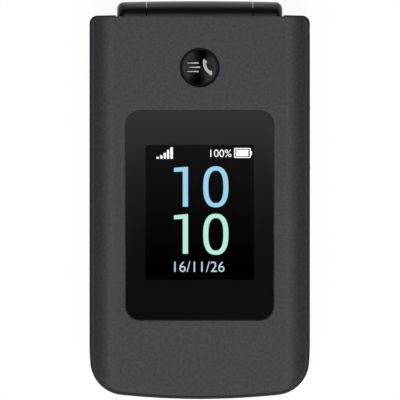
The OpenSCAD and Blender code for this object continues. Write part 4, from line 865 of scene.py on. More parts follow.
# %% Print the handset on it
HANDSET_X, HANDSET_Y, HANDSET_SIZE, HANDSET_TURN = 2.08, HOT_KEY_Y + 0.06, 1.06, 27
BAR_PITCH, BAR_L, BAR_END, BAR_OUT, BAR_HALVES = 1.1, 3.0, -0.28, 0.4, (0.07, 0.22, 0.12)


def bent_bar(points, widths):
    """The outline of a thick stroke along points, with its own half width at each."""
    left, right = [], []
    for i, (x, y) in enumerate(points):
        (ax, ay), (bx, by) = points[max(i - 1, 0)], points[min(i + 1, len(points) - 1)]
        length = math.hypot(bx - ax, by - ay)
        nx, ny = (ay - by) / length * widths[i], (bx - ax) / length * widths[i]
        left.append((x + nx, y + ny))
        right.append((x - nx, y - ny))
    return right + left[::-1]


def handset_outline(x, y, size, turn):
    """A handset's outline: a bent handle that swells at both ends and is rounded there."""
    sweep = [math.radians(4 * i) for i in range(-20, 21)]
    handle = [(0.55 - 1.07 * math.cos(a), 1.75 * math.sin(a)) for a in sweep]
    ends = [max(0.0, (abs(math.degrees(a)) - 46) / 34) for a in sweep]
    halves = [0.36 + 0.24 * math.sin(min(e * 2.2, math.pi / 2)) - 0.34 * (max(0.0, e - 0.72) / 0.28) ** 2
              for e in ends]
    return bent_bar(placed(handle, x, y, turn, size), [size * half for half in halves])


handset = Moulding()
thin_end, thick_end, tip = BAR_HALVES
shapes = [handset_outline(HANDSET_X, HANDSET_Y, HANDSET_SIZE, HANDSET_TURN)]
for row in (-1, 0, 1):
    right, y = BAR_END + BAR_OUT * (row == 0), HANDSET_Y + BAR_PITCH * row
    upper = [(right, y + tip), (right - 0.1, y + thick_end), (right - BAR_L, y + thin_end)]
    shapes.append([(u, 2 * y - v) for u, v in upper[::-1]] + upper)
for shape in shapes:
    handset.solid([(shape, lambda x, y, lift=lift: dish(x, y) + lift) for lift in (0.006, 0.03)])
handset.finish("round_key_handset", "round_key", key_ink, "turned_black")

# %% [markdown]
# ## The hinge barrel
# The barrel is a row of three turned sleeves on one line: the middle one belongs to the lid and the two
# outer ones to the base. They are a little fatter in the middle of the row, the outer ends are well
# rounded, and hair-wide seams let light through. Each sleeve is turned from a closed profile, so its
# bore is open and the pin, the spring and the bush inside can be seen from the seams. The rings of
# these pieces stand upright, so they are built sideways.

# %% Turn the sleeves
BARREL_R, BARREL_SAG, KNUCKLE_X, EAR_X0, EAR_X1, BORE_R = 5.0, 0.28, 13.865, 13.935, 21.55, 3.3
EDGE, END_R, CAP_R, CAP_T, SLEEVE_STEPS = 0.12, 1.85, 3.2, 0.7, 112
NECK_Y0, NECK_Y1, NECK_Z0, NECK_Z1 = 40.6, 47.0, 14.8, 18.24


def barrel_r(x):
    return BARREL_R - BARREL_SAG * (x / EAR_X1) ** 2


knuckle = Moulding(sideways=True)
end = [(BORE_R + 0.2, KNUCKLE_X), (barrel_r(KNUCKLE_X) - EDGE, KNUCKLE_X)]
reach = KNUCKLE_X - EDGE
profile = [(r, -x) for r, x in end] + [(barrel_r(x), x) for x in (reach * (i / 6 - 1) for i in range(13))]
knuckle.turn(profile + end[::-1], HINGE_Y, HINGE_Z, SLEEVE_STEPS, hollow=True)
neck = [(NECK_Y0, NECK_Z0), (NECK_Y1, NECK_Z0), (NECK_Y1, NECK_Z1), (NECK_Y0, NECK_Z1)]
knuckle.solid([(neck, -KNUCKLE_X + 0.1), (neck, KNUCKLE_X - 0.1)])
knuckle.finish("hinge_knuckle", "lid", gloss_black, replaces="hinge_case", limit=40)

ears = Moulding(sideways=True)
top = barrel_r(EAR_X1 - END_R)
profile = [(BORE_R, EAR_X0), (barrel_r(EAR_X0) - EDGE, EAR_X0), (barrel_r(EAR_X0), EAR_X0 + EDGE)]
profile += [(barrel_r(x), x) for x in (15.5, 17.0, 18.5, EAR_X1 - END_R)]
profile += [(top - END_R * (1 - math.cos(a)), EAR_X1 - END_R + END_R * math.sin(a)) for a in quarter(9)[1:-1]]
profile += [(top - END_R + 0.12, EAR_X1), (BORE_R, EAR_X1)]
for side in (-1, 1):
    ears.turn([(r, side * x) for r, x in profile], HINGE_Y, HINGE_Z, SLEEVE_STEPS, hollow=True)
ears.finish("hinge_ears", "base", gloss_black, limit=40)

end_discs = Moulding(sideways=True)
profile = [(0.25, CAP_T), (CAP_R, CAP_T), (CAP_R, 0.12), (CAP_R - 0.1, 0.02), (2.3, 0.0), (2.2, 0.12),
           (0.25, 0.14)]
for side in (-1, 1):
    end_discs.turn([(r, side * (EAR_X1 - depth)) for r, depth in profile], HINGE_Y, HINGE_Z, 64, hollow=True)
end_discs.finish("hinge_end_discs", "base", gloss_black, replaces="hinge_end_caps")

# %% [markdown]
# ## The lid's inner frame
# The frame is the dark plastic half of the lid: a step round the painted cover when the phone is shut,
# and the face around the big display when it is open. It is one plate with a deep recess for the inner
# pane, a slot for the ear and four shallow seats for the rubber bumpers. A fine groove in the step
# draws a dark line beside the cover. At the hinge it is cut away along the barrel, so its outline has
# a notch that deepens with height.

# %% Build the frame
FRAME_INSET, FRAME_END, FRAME_Z0, FRAME_FACE, HOLLOW_INSET, HOLLOW_END = 0.3, 48.5, 11.2, 12.4, 2.9, 40.5
GROOVE_IN, GROOVE_W, GROOVE_D, SHOULDER_OUT = 0.25, 0.12, 0.3, 0.28
EAR_Y, EAR_W, EAR_L = 35.9, 9.0, 1.4
BUMPERS = [(s * x, y) for s in (-1, 1) for x, y in ((21.0, -47.0), (24.0, 35.5))]
BUMPER_R, BUMPER_SEAT = 2.3, 11.8
inner = box_mm("inner_lens")
INNER_W, INNER_L, INNER_Y, INNER_R = inner.size.x, inner.size.y, inner.middle.y, 2.0


def trough_edge(z):
    return HINGE_Y - math.sqrt(TROUGH_R ** 2 - (z - HINGE_Z) ** 2)


def frame_ring(inset, z):
    """The frame's outline. Beside the shoulders of the base it comes out to the phone's full width."""
    ring = phone_outline(FRAME_INSET + inset, FRAME_END + FRAME_INSET, SHOULDER_R + FRAME_INSET,
                         (TROUGH_X, trough_edge(z)), COVER_BOW)
    out = lambda x, y: math.copysign(SHOULDER_OUT * min(max((y - 36) / 4, 0), 1), x) if abs(x) > 25 else 0.0
    return [(x + out(x, y), y) for x, y in ring], z


lid_frame = Moulding()
step = [(0.3, FRAME_Z0), (0.12, FRAME_Z0 + 0.06), (0.0, FRAME_Z0 + 0.3), (0.0, 12.0), (0.0, 12.7),
        (0.0, SEAM_Z - 0.08), (0.08, SEAM_Z), (GROOVE_IN, SEAM_Z), (GROOVE_IN, SEAM_Z - GROOVE_D),
        (GROOVE_IN + GROOVE_W, SEAM_Z - GROOVE_D), (GROOVE_IN + GROOVE_W, SEAM_Z)]
hollow = phone_outline(HOLLOW_INSET, HOLLOW_END + HOLLOW_INSET, 1.0, (TROUGH_X, HOLLOW_END - 0.001))
face, inner_rim = lid_frame.wall([frame_ring(i, z) for i, z in step]
                                 + [(hollow, SEAM_Z), (hollow, FRAME_FACE)])
pane_hole = box_plan(INNER_W + 2 * GAP, INNER_L + 2 * GAP, INNER_R + GAP, 0, INNER_Y)
panel_hole = round_box(42, 59, 1.6, 0, INNER_Y)
pane_rim, panel_rim = lid_frame.wall(rim(pane_hole, FRAME_Z0, 12.1, 0.12, -1)
                                     + [(panel_hole, 12.1), (panel_hole, FRAME_FACE)])
ear_hole = box_plan(EAR_W, EAR_L, 0.65, 0, EAR_Y)
ear_rim, ear_back = lid_frame.wall(rim(ear_hole, FRAME_Z0, FRAME_FACE, 0.12, -1))
seats = []
for x, y in BUMPERS:
    seat_rim, seat = lid_frame.wall(rim(disc_plan(BUMPER_R + 0.1, x, y, 48), FRAME_Z0, BUMPER_SEAT, 0.1, -1))
    lid_frame.face(seat)
    seats.append(seat_rim)
lid_frame.face(face, pane_rim, ear_rim, *seats)
lid_frame.face(inner_rim, panel_rim, ear_back)
lid_frame.finish("lid_frame_moulded", "lid", dark_plastic, replaces="lid_inner_frame")

bumpers = Moulding()
for x, y in BUMPERS:
    bumpers.turn([(1.2, BUMPER_SEAT - 0.02), (BUMPER_R, BUMPER_SEAT - 0.02), (BUMPER_R, 11.15), (2.22, 11.0),
                  (2.0, 10.92), (1.6, 10.9), (0.5, 10.9)], x, y, 48)
bumpers.finish("lid_bumper_dots", "lid", rubber, replaces="lid_bumpers")

# %% [markdown]
# ## The big display inside
# It is built as the small one is, as a pane with a border printed on its underside and a panel behind,
# but switched off, so all that shows is the reflection and a faint edge where the panel starts. The ear
# slot is backed by a fine woven mesh, modelled as real wires because it is looked at closely.

# %% Glaze the inside of the lid
WIRE_HALF, WIRE_PITCH = 0.07, 0.42

inner_plan = box_plan(INNER_W, INNER_L, INNER_R, 0, INNER_Y)
glaze("inner_pane", inner_plan, inner.high.z, inner.low.z, 0.05, "inner_lens")

inner_border = Moulding()
inner_border.band(inner_plan(0.1), round_box(43.2, 57.6, 0.3, 0, INNER_Y + 1.0), inner.high.z + 0.01, PRINT_T)
inner_border.finish("inner_border_print", "lid", black_glass, "gloss_black")

big_panel = Moulding()
big = box_mm("main_display")
plan = box_plan(big.size.x, big.size.y, 0.7, 0, big.middle.y, least=0.7)
big_panel.solid([(plan(0.05), big.low.z), (plan(0), big.low.z + 0.05), (plan(0), SEAM_Z), (plan(0.4), SEAM_Z),
                 (plan(0.4), big.high.z)])
big_panel.finish("big_display_panel", "lid", display_black, replaces="main_display")

gauze = Moulding()
for i in range(-10, 11):
    gauze.slab(rectangle(2 * WIRE_HALF, 1.36, WIRE_PITCH * i, EAR_Y), 12.05, 0.08)
for i in (-1, 0, 1):
    gauze.slab(rectangle(8.9, 2 * WIRE_HALF, 0, EAR_Y + WIRE_PITCH * i), 12.12, 0.08)
gauze.finish("ear_gauze", "lid", steel)

# %% [markdown]
# ## The base's front housing
# This half carries the keypad. It is a shallow tray: an outer wall, a rim with a small flat easing, and
# a plate with a clean hole for every key. Where the barrel turns, its end is scooped out, so the rings
# of the outline are notched deeper the higher they lie. The openings in its side walls, which cross the
# seam with the rear half, are carved out of both halves at once with the same cutters.

# %% Cutters for the side walls
jack, usb, volume = (box_mm(name) for name in ("headphone_jack", "usb_port", "volume_key"))
JACK_Y, JACK_Z, JACK_HOLE_R = jack.middle.y, 4.4, 2.68
USB_Y, USB_Z, USB_HOLE_W, USB_HOLE_H = usb.middle.y, usb.middle.z, 8.1, 3.1
VOLUME_Y, VOLUME_Z, VOLUME_L, VOLUME_H, VOLUME_GAP = volume.middle.y, 6.0, 20.9, 2.8, 0.15
CUT_FROM, CUT_TO = 27.2, 31.0


def wall_cutters():
    """The openings for the jack and the charging plug on the left, and for the rocker on the right."""
    cutters = Moulding(sideways=True)
    volume_hole = box_plan(VOLUME_L, VOLUME_H, 0.9, VOLUME_Y, VOLUME_Z)(-VOLUME_GAP)
    cutters.slab(disc(JACK_HOLE_R, JACK_Y, JACK_Z, 48), -CUT_TO, CUT_TO - CUT_FROM)
    cutters.slab(round_box(USB_HOLE_W, USB_HOLE_H, 0.7, USB_Y, USB_Z), -CUT_TO, CUT_TO - CUT_FROM)
    cutters.slab(volume_hole, CUT_FROM, CUT_TO - CUT_FROM)
    return cutters


def carve(moulding, cutters):
    """Takes the closed bodies of one moulding out of another, with an exact boolean."""
    objs = []
    for part in (moulding, cutters):
        bmesh.ops.recalc_face_normals(part.mesh, faces=part.mesh.faces)
        mesh = bpy.data.meshes.new("carving")
        part.mesh.to_mesh(mesh)
        part.mesh.free()
        objs.append(new_object("carving", mesh))
    carving = objs[0].modifiers.new("carving", "BOOLEAN")
    carving.object, carving.operation, carving.solver = objs[1], "DIFFERENCE", "EXACT"
    result = bpy.data.meshes.new_from_object(objs[0].evaluated_get(bpy.context.evaluated_depsgraph_get()))
    moulding.mesh = bmesh.new()
    moulding.mesh.from_mesh(result)
    for obj in objs:
        bpy.data.objects.remove(obj)
    bpy.data.meshes.remove(result)


# %% Where the keys are
KEYS = {name: box_mm(name) for name in nodes if name.startswith("key_") or name in (
    "soft_left", "soft_right", "call_key", "end_key", "clear_key")}
FLANGE_W, KEY_GAP, KEY_R = 0.5, 0.15, 1.6


def key_plan(name):
    """Width, length and centre of a key's cap, from its box less the flange."""
    box = KEYS[name]
    return box.size.x - 2 * FLANGE_W, box.size.y - 2 * FLANGE_W, box.middle.x, box.middle.y


print("keys:", sorted(KEYS), "first:", [round(v, 2) for v in key_plan("key_1")])

# %% Build the front housing
BASE_Z, BASE_SEAM, BASE_END, PLATE_Z, BASE_WALL, BASE_HOLLOW_END = 10.8, 5.4, 45.5, 9.4, 1.2, 40.5
RIM_W, RIM_DROP, HOLE_EASE, SEAM_GROOVE, TROUGH_FOOT = 0.6, 0.3, 0.12, 0.14, 5.9
RING_HOLE_R, MIC_Y, MIC_R = 12.95, -47.6, 0.5
EAR_SHELF = [(44.8, 5.45), (45.45, 5.45), (46.9, 6.15), (46.9, 7.6), (44.8, 8.0)]


def base_ring(inset, z):
    notch = min(trough_edge(z) if z > TROUGH_FOOT else BASE_END, BASE_END - inset - 0.001)
    return phone_outline(inset, BASE_END, SHOULDER_R, (EAR_X0, notch)), z


def base_hollow(z):
    notch = BASE_HOLLOW_END - 0.001
    return phone_outline(BASE_WALL, BASE_HOLLOW_END + BASE_WALL, SHOULDER_R, (EAR_X0, notch)), z


front = Moulding()
outer = [(SEAM_GROOVE, BASE_SEAM), (0, BASE_SEAM + SEAM_GROOVE)] + [(0, z) for z in (6.0, 6.5, 7.2, 8.2, 9.3)]
outer += [(inset, BASE_Z - drop) for inset, drop in rounding(RIM_W, RIM_DROP, 6)]
foot, top = front.wall([base_ring(i, z) for i, z in outer])
_, under = front.wall([base_hollow(BASE_SEAM), base_hollow(PLATE_Z)], start=foot)
shapes = [box_plan(w + 2 * KEY_GAP, l + 2 * KEY_GAP, KEY_R + KEY_GAP, x, y)
          for w, l, x, y in (key_plan(name) for name in KEYS)] + [disc_plan(RING_HOLE_R, 0, RING_Y)]
holes = [front.wall(rim(shape, BASE_Z, PLATE_Z, HOLE_EASE)) for shape in shapes]
holes.append(front.wall(rim(disc_plan(MIC_R, 0, MIC_Y, 24), BASE_Z, PLATE_Z, 0.08)))
front.face(top, *(high for high, _ in holes))
front.face(under, *(low for _, low in holes))
carve(front, wall_cutters())
front.sideways = True
for x in (-EAR_X1 + 0.05, EAR_X0 + 0.05):
    front.slab(EAR_SHELF, x, EAR_X1 - EAR_X0 - 0.1)
front.finish("base_front_moulded", "base", dark_plastic, replaces="base_front_housing")

# %% [markdown]
# ## The base's rear housing
# The back has a generous round edge that makes the phone sit well in the hand. Its face holds the recess
# for the battery cover, a grille of five slots for the loudspeaker, the camera's window and two screws.
# Inside the recess the battery bay goes on upwards, so that the battery shows when the cover is lifted.

# %% Build the rear housing
REAR_R, REAR_FLOOR, LEDGE_Z, BAY_Z, BAY_TOP = 2.6, 2.0, 1.15, 6.3, 6.8
battery, back_box = box_mm("battery"), box_mm("battery_cover")
BAY_GAP, BAY_WALL, BACK_R, BACK_TOP_R = 0.3, 0.8, 7.0, 3.0
BAY_W, BAY_L, BAY_Y = battery.size.x + 2 * BAY_GAP, battery.size.y + 2 * BAY_GAP, battery.middle.y
BACK_W, BACK_L, BACK_Y = back_box.size.x, back_box.size.y, back_box.middle.y
CAMERA_X, CAMERA_Y, CAMERA_R, CAMERA_HOLE_R = -8.0, 34.0, 3.6, 2.1
SPEAKER_X, SPEAKER_Y, SLOT_W, SLOT_L, SLOT_PITCH = 12.0, 33.0, 1.0, 9.0, 2.4
LOW_SCREWS = [(-19.5, -46.8), (19.5, -46.8)]
HIGH_SCREWS = [(-24.4, 37.5), (24.4, 37.5)]
SINK_R, SINK_Z = 1.4, 1.9


def back_plan(inset):
    """The battery cover's outline, rounder at its lower end."""
    half_w, half_l = BACK_W / 2 - inset, BACK_L / 2 - inset
    low_r, high_r = BACK_R - inset, BACK_TOP_R - inset
    right = (arc(half_w - low_r, BACK_Y - half_l + low_r, low_r, -math.pi / 2, 0, 10)
             + arc(half_w - high_r, BACK_Y + half_l - high_r, high_r, 0, math.pi / 2, 10))
    return right + [(-x, y) for x, y in reversed(right)]


def rear_ring(inset, z):
    return phone_outline(inset, BASE_END, SHOULDER_R + 0.6, (EAR_X0, BASE_END - inset - 0.001)), z


rear = Moulding()
outer = [(SEAM_GROOVE, BASE_SEAM), (0, BASE_SEAM - SEAM_GROOVE), (0, 4.0)] + rounding(REAR_R, REAR_R, 9)
seam, back = rear.wall([rear_ring(i, z) for i, z in outer])
_, inside_floor = rear.wall([base_hollow(BASE_SEAM), base_hollow(REAR_FLOOR)], start=seam)
recess_rim, ledge = rear.wall(rim(lambda inset: back_plan(inset - 0.1), 0.0, LEDGE_Z, 0.12, -1))
bay = round_box(BAY_W, BAY_L, 0.4, 0, BAY_Y)
bay_low, bay_high = rear.wall([(bay, LEDGE_Z), (bay, BAY_Z)])
shell = round_box(BAY_W + 2 * BAY_WALL, BAY_L + 2 * BAY_WALL, 0.8, 0, BAY_Y)
bay_foot, bay_roof = rear.wall([(shell, REAR_FLOOR), (shell, BAY_TOP)])
rear.face(bay_high)
rear.face(bay_roof)
slots = [rear.wall(rim(box_plan(SLOT_W, SLOT_L, 0.42, SPEAKER_X + i * SLOT_PITCH, SPEAKER_Y, 5),
                       0.0, REAR_FLOOR, 0.12, -1)) for i in range(-2, 3)]
camera_hole = disc(CAMERA_HOLE_R, CAMERA_X, CAMERA_Y)
slots.append(rear.wall(rim(disc_plan(CAMERA_R + 0.1, CAMERA_X, CAMERA_Y), 0.0, 1.0, 0.12, -1)
                       + [(camera_hole, 1.0), (camera_hole, REAR_FLOOR)]))
sinks = {}
for x, y in LOW_SCREWS + HIGH_SCREWS:
    start = LEDGE_Z if y < 0 else 0.0
    sinks[x, y], end = rear.wall(rim(disc_plan(SINK_R, x, y, 40), start, SINK_Z, 0.1, -1))
    rear.face(end)
rear.face(back, recess_rim, *(low for low, _ in slots), *(sinks[p] for p in HIGH_SCREWS))
rear.face(ledge, bay_low, *(sinks[p] for p in LOW_SCREWS))
rear.face(inside_floor, bay_foot, *(high for _, high in slots))
carve(rear, wall_cutters())
rear.finish("base_rear_moulded", "base", rear_plastic, "dark_plastic", "base_rear_housing")

# %% [markdown]
# ## The battery cover
# It is a thin lid flush with the back, with an eased edge and a shallow hollow for the thumbnail at its
# upper end. The hollow is a slice of a large ball, so we carve it with one.

# %% Build the battery cover
THUMB_R, THUMB_DEPTH, THUMB_OUT = 12.0, 0.55, 0.15

cover_back = Moulding()
cover_back.solid([(back_plan(inset), z) for inset, z in (
    (0.05, 1.1), (0, 1.05), (0, 0.25), (0.03, 0.12), (0.11, 0.03), (0.25, 0.0))])
ball = Moulding()
turns = [math.radians(d) for d in (179, 150, 120, 90, 60, 40, 30, 25, 20, 15, 10, 5, 1)]
ball.turn([(THUMB_R * math.sin(a), THUMB_DEPTH - THUMB_R * (1 + math.cos(a))) for a in turns],
          0, BACK_Y + BACK_L / 2 + THUMB_OUT)
carve(cover_back, ball)
cover_back.finish("battery_cover_moulded", "back_panel", rear_plastic, "dark_plastic", "battery_cover")

# %% [markdown]
# ## The keys
# Every flat key is one moulded cap with a flange below the plate that keeps it in, a rounded edge and a
# face that rises by a hair to its middle. The figures are printed, so each is a thin plate set into the
# cap. A real keypad would also carry letters, and those places are left bare.

# %% Mould the caps
FLANGE_Z = 9.3
CAP_EDGE = [(0.0, 10.62), (0.03, 10.74), (0.09, 10.83), (0.18, 10.89), (0.32, 10.917), (1.1, 10.935),
            (2.2, 10.95)]


def build_cap(name):
    w, l, x, y = key_plan(name)
    foot = KEYS[name].low.z
    plan = box_plan(w, l, KEY_R, x, y, 7, least=0.3)
    flange = box_plan(w + 2 * FLANGE_W, l + 2 * FLANGE_W, KEY_R, x, y, 7)
    cap = Moulding()
    cap.solid([(flange(0.05), foot), (flange(0), foot + 0.05), (flange(0), FLANGE_Z - 0.05),
               (flange(0.05), FLANGE_Z), (plan(0), FLANGE_Z)] + [(plan(inset), z) for inset, z in CAP_EDGE])
    cap.finish(f"{name}_cap", f"{name}_body", key_plastic, replaces=name)
    return x, y


centres = {name: build_cap(name) for name in sorted(KEYS)}

# %% [markdown]
# ## What the keys say
# Number keys carry a figure, a star or a hash. The star is drawn as one arm, with the notch before the
# next, six times round. The call and end keys carry the usual green and red handsets, the clear key an
# arrow to the left, and the two soft keys a short bar.

# %% Print the legends
LEGEND = (10.93, 0.04)
FIGURES = {f"key_{i}": str(i) for i in range(10)} | {"key_hash": "#"}
FIGURE_H, HASH_H, STAR_ARM, STAR_HALF = 3.5, 3.0, 1.35, 0.24
NOTCH_TURN = math.radians(30)
STAR_POINTS = [(STAR_ARM, -STAR_HALF), (STAR_ARM, STAR_HALF),
               (2 * STAR_HALF * math.cos(NOTCH_TURN), 2 * STAR_HALF * math.sin(NOTCH_TURN))]
CLEAR_ARROW = [(-2.3, 0), (-0.9, 1.2), (-0.9, 0.32), (2.2, 0.32), (2.2, -0.32), (-0.9, -0.32), (-0.9, -1.2)]


def print_legend(name, outline=None, ink=legend_ink):
    """Prints an outline on a key, or the key's own figure where none is given."""
    legend = Moulding()
    if outline:
        legend.slab(outline, *LEGEND)
    else:
        figure = FIGURES[name]
        write_numbers(legend, figure, HASH_H if figure == "#" else FIGURE_H, centres[name], *LEGEND)
    legend.finish(f"{name}_legend", f"{name}_body", ink, "key_plastic")


for name in FIGURES:
    print_legend(name)
print_legend("key_star", spokes(STAR_POINTS, 6, *centres["key_star"], 30))
print_legend("call_key", handset_outline(*centres["call_key"], 1.05, 32), call_green)
print_legend("end_key", handset_outline(*centres["end_key"], 1.05, 90), end_red)
for name in ("soft_left", "soft_right"):
    print_legend(name, round_box(3.6, 0.6, 0.28, *centres[name], 4))
print_legend("clear_key", placed(CLEAR_ARROW, *centres["clear_key"]))

# %% [markdown]
# ## The ring and the centre key
# The ring is spun aluminium with two rounded rims and four printed arrows, and it tilts as one piece.
# The centre key is a plain disc with a hollow face, so that the thumb finds it.

# %% Turn the ring and its centre
ring = Moulding()
ring.turn([(6.15, 9.22), (12.75, 9.22), (12.8, 9.27), (12.8, 10.42), (12.77, 10.56), (12.69, 10.68),
           (12.56, 10.765), (12.4, 10.8), (12.2, 10.795), (11.8, 10.75), (9.5, 10.68), (7.2, 10.70),
           (6.75, 10.735), (6.5, 10.73), (6.28, 10.66), (6.15, 10.54), (6.1, 10.4), (6.1, 9.27)],
          0, RING_Y, 128, hollow=True)
ring.finish("ring_turned", "nav_ring_body", ring_metal, replaces="nav_ring")

arrows = Moulding()
wedge = [(9.05, -0.75), (10.15, 0.0), (9.05, 0.75), (9.05, 0.35), (9.5, 0.0), (9.05, -0.35)]
for angle in (0, 90, 180, 270):
    arrows.slab(placed(wedge, 0, RING_Y, angle), 10.665, 0.04)
arrows.finish("ring_arrows", "nav_ring_body", legend_ink, "ring_metal")

centre_key = Moulding()
centre_key.turn([(0.2, 8.8), (5.65, 8.8), (5.7, 8.85), (5.7, 10.55), (5.66, 10.69), (5.57, 10.79),
                 (5.43, 10.855), (5.25, 10.875), (5.0, 10.86), (4.4, 10.81), (3.5, 10.75), (2.4, 10.70),
                 (1.2, 10.675), (0.2, 10.67)], 0, RING_Y)
centre_key.finish("centre_key_turned", "ok_key_body", key_plastic, replaces="ok_key")
spot = Moulding()
spot.band(disc(0.95, 0, RING_Y, 48), disc(0.62, 0, RING_Y, 48), 10.66, 0.04)
spot.finish("centre_key_legend", "ok_key_body", legend_ink, "key_plastic")

# %% [markdown]
# ## The volume rocker
# It is a long bar through the right wall, on a flange that holds it in. Its face is waisted in the
# middle, where the thumb rests, and two raised marks tell its ends apart.

# %% Build the rocker
ROCKER_BACK, ROCKER_STEP, ROCKER_EDGE, ROCKER_ROUND = 26.8, 27.3, 28.5, 0.3
WAIST, ROCKER_MARK_Y, ROCKER_MARK_L, ROCKER_MARK_W = 0.06, 7.6, 1.5, 0.34

rocker = Moulding(sideways=True)
flange = round_box(VOLUME_L + 1.0, VOLUME_H + 0.5, 0.9, VOLUME_Y, VOLUME_Z)
bar = box_plan(VOLUME_L, VOLUME_H, 0.9, VOLUME_Y, VOLUME_Z)
rocker.solid([(flange, ROCKER_BACK), (flange, ROCKER_STEP), (bar(0), ROCKER_STEP)] + [
    (bar(ROCKER_ROUND * (1 - math.cos(a))), ROCKER_EDGE + ROCKER_ROUND * math.sin(a)) for a in quarter(4)])
for vert in rocker.mesh.verts:
    if vert.co.x > (ROCKER_STEP + 0.2) * MM:
        middle = 1 - ((vert.co.y / MM - VOLUME_Y) / (VOLUME_L / 2)) ** 2
        vert.co.x -= WAIST * MM * max(middle, 0.0)
rocker.finish("volume_rocker_moulded", "volume_rocker", dark_plastic, replaces="volume_key")

marks = Moulding(sideways=True)
for y, l, h in ((ROCKER_MARK_Y, ROCKER_MARK_L, ROCKER_MARK_W), (ROCKER_MARK_Y, ROCKER_MARK_W, ROCKER_MARK_L),
                (-ROCKER_MARK_Y, ROCKER_MARK_L, ROCKER_MARK_W)):
    marks.slab(round_box(l, h, 0.1, VOLUME_Y + y, VOLUME_Z, 3), 28.7, 0.17)
marks.finish("volume_rocker_marks", "volume_rocker", legend_ink, "dark_plastic")

# %% [markdown]
# ## The camera
# Its window is a thin clear disc with a printed ring, and behind it stands the module: a square body
# with a stepped barrel that leads down to a small bulging lens.

# %% Build the camera
window = Moulding()
window.turn([(0.2, 0.9), (3.5, 0.9), (CAMERA_R, 0.85), (CAMERA_R, 0.2), (3.57, 0.14), (3.5, 0.1), (0.2, 0.1)],
            CAMERA_X, CAMERA_Y)
window.finish("camera_window", "base", clear_pane, "black_glass", "camera_lens")
print_ring = Moulding()
print_ring.band(disc(3.5, CAMERA_X, CAMERA_Y, 96), disc(1.75, CAMERA_X, CAMERA_Y, 96), 0.92, 0.04)
print_ring.finish("camera_window_print", "base", camera_ring_ink, "gloss_black")

eye = Moulding()
eye.turn([(2.0, 1.0), (2.0, 2.1), (0.4, 2.1), (0.4, 1.75), (1.1, 1.7), (1.1, 1.45), (1.35, 1.45),
          (1.35, 1.25), (1.6, 1.25), (1.6, 1.05), (1.65, 1.0)], CAMERA_X, CAMERA_Y, 72, hollow=True)
body = box_plan(7.0, 7.0, 0.6, CAMERA_X, CAMERA_Y, 4, least=0.6)
eye.solid([(body(0.1), 2.05), (body(0), 2.15), (body(0), 4.4), (body(0.4), 4.45), (body(0.4), 6.15),
           (body(0.5), 6.25)])
eye.finish("camera_barrel", "base", gloss_black, replaces="camera_module")
dome = Moulding()
dome.turn([(0.1, 1.28), (0.4, 1.31), (0.7, 1.39), (0.95, 1.52), (1.05, 1.62), (1.05, 1.72), (0.1, 1.72)],
          CAMERA_X, CAMERA_Y, 64)
dome.finish("camera_eye_lens", "base", camera_glass, "black_glass")

# %% [markdown]
# ## The screws
# All eight screws are the same small machine screw: a cheese head with a cross recess, and a thread.
# The thread is modelled as rings, which at half a millimetre cannot be told from a helix.

# %% Cut the screws
HEAD_R, HEAD_H, SHANK_R, THREAD, THREAD_DEPTH, CROSS_R, CROSS_HALF = 1.3, 0.6, 0.7, 0.35, 0.13, 0.75, 0.18


def build_screws(node, body, places, z, length):
    screws, crosses = Moulding(), Moulding()
    arm = [(CROSS_R, -CROSS_HALF), (CROSS_R, CROSS_HALF), (CROSS_HALF, CROSS_HALF)]
    thread = [(SHANK_R - THREAD_DEPTH * (i % 2), z + HEAD_H + 0.3 + i * THREAD / 2)
              for i in range(int((length - 0.8) / THREAD * 2))]
    head = [(0.3, z), (1.08, z), (1.24, z + 0.07), (HEAD_R, z + 0.2), (HEAD_R, z + HEAD_H),
            (SHANK_R, z + HEAD_H)]
    for x, y in places:
        screws.turn(head + thread + [(0.35, z + HEAD_H + length)], x, y, 28)
        crosses.slab(spokes(arm, 4, x, y), z - 0.1, 0.46)
    carve(screws, crosses)
    screws.finish(f"{node}_turned", body, steel, replaces=node)


build_screws("base_screws", "base", LOW_SCREWS + HIGH_SCREWS, 1.25, 7.0)
build_screws("lid_screws", "lid", BUMPERS, 11.85, 3.4)

# %% [markdown]
# ## The battery
# The pack is a thin can in a black sleeve, with a bare grey label and three sunken gold contacts at its
# upper end. Its edges are round because the sleeve is shrunk over the can.

# %% Wrap the battery
WRAP_ROUND, LABEL_W, LABEL_L, LABEL_Y, PAD_W, PAD_L, PAD_PITCH, PAD_Y = 0.8, 37, 43, -3, 1.8, 3.0, 3.2, 24.3

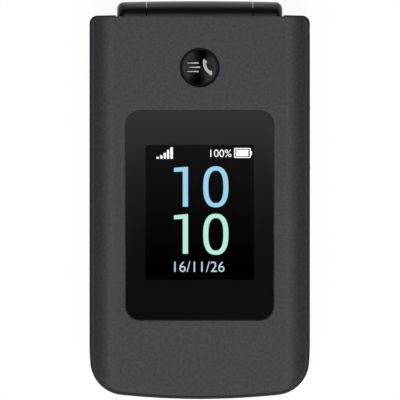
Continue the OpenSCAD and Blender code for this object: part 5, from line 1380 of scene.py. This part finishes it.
pack = Moulding()
wrap = box_plan(battery.size.x, battery.size.y, 1.2, 0, BAY_Y, least=0.3)
edge = rounding(WRAP_ROUND, WRAP_ROUND, 5)
pack.solid([(wrap(inset), battery.low.z + drop) for inset, drop in edge[::-1]]
           + [(wrap(inset), battery.high.z - drop) for inset, drop in edge])
pack.finish("battery_wrapped", "base", battery_wrap, replaces="battery")
label = Moulding()
plate = box_plan(LABEL_W, LABEL_L, 1.0, 0, BAY_Y + LABEL_Y, 5, least=1.0)
label.solid([(plate(inset), battery.low.z + d) for inset, d in ((0, 0.02), (0, -0.02), (0.05, -0.04))])
label.finish("battery_label", "base", label_film, "battery_wrap")
pads = Moulding()
for i in (-1, 0, 1):
    pads.slab(round_box(PAD_W, PAD_L, 0.3, i * PAD_PITCH, BAY_Y + PAD_Y, 4), battery.low.z - 0.03, 0.08)
pads.finish("battery_pads", "base", contact_gold)

# %% [markdown]
# ## The parts inside
# The parts that show only through a gap, or with the cover off, keep their CAD shape. Each gets its
# finish, and a small node tree that shades it smooth except across sharp edges, once the doubled
# corners of the imported mesh are welded.

# %% Dress the parts inside
SHARP_FROM, WELD_WITHIN = math.radians(30), 0.001 * MM
INSIDE = {steel: ["hot_key_switch", "lid_stiffener_plate", "ear_speaker", "shield_cans", "dome_sheet",
                  "usb_port", "microphone", "vibration_motor", "sim_holder"],
          dark_steel: ["hinge_spring", "hinge_cam_follower", "hinge_cam_shaft", "hinge_bush"],
          board: ["lid_circuit_board", "main_circuit_board"],
          rubber: ["keypad_web", "nav_pads", "loudspeaker"],
          gloss_black: ["headphone_jack"], flex_film: ["hinge_flex"],
          contact_gold: ["battery_contacts", "antenna"]}

soften = bpy.data.node_groups.new("smooth by angle", "GeometryNodeTree")
soften.is_modifier = True
for way in ("INPUT", "OUTPUT"):
    soften.interface.new_socket("Geometry", in_out=way, socket_type="NodeSocketGeometry")
angle = soften.nodes.new("GeometryNodeInputMeshEdgeAngle").outputs[0]
steep = math_node(soften, "GREATER_THAN", angle, SHARP_FROM)
entry = soften.nodes.new("NodeGroupInput")
faces = add_node(soften, "GeometryNodeSetShadeSmooth", {"Geometry": entry.outputs[0]})
edges = add_node(soften, "GeometryNodeSetShadeSmooth",
                 {"Geometry": faces.outputs[0], "Selection": steep, "Shade Smooth": False}, domain="EDGE")
soften.links.new(edges.outputs[0], soften.nodes.new("NodeGroupOutput").inputs[0])

for made, names in INSIDE.items():
    for obj in (nodes[name] for name in names):
        for holder in obj.material_slots:
            holder.material = made
        obj.modifiers.new("weld", "WELD").merge_threshold = WELD_WITHIN
        obj.modifiers.new("smooth by angle", "NODES").node_group = soften
print("parts inside dressed:", sum(len(names) for names in INSIDE.values()))
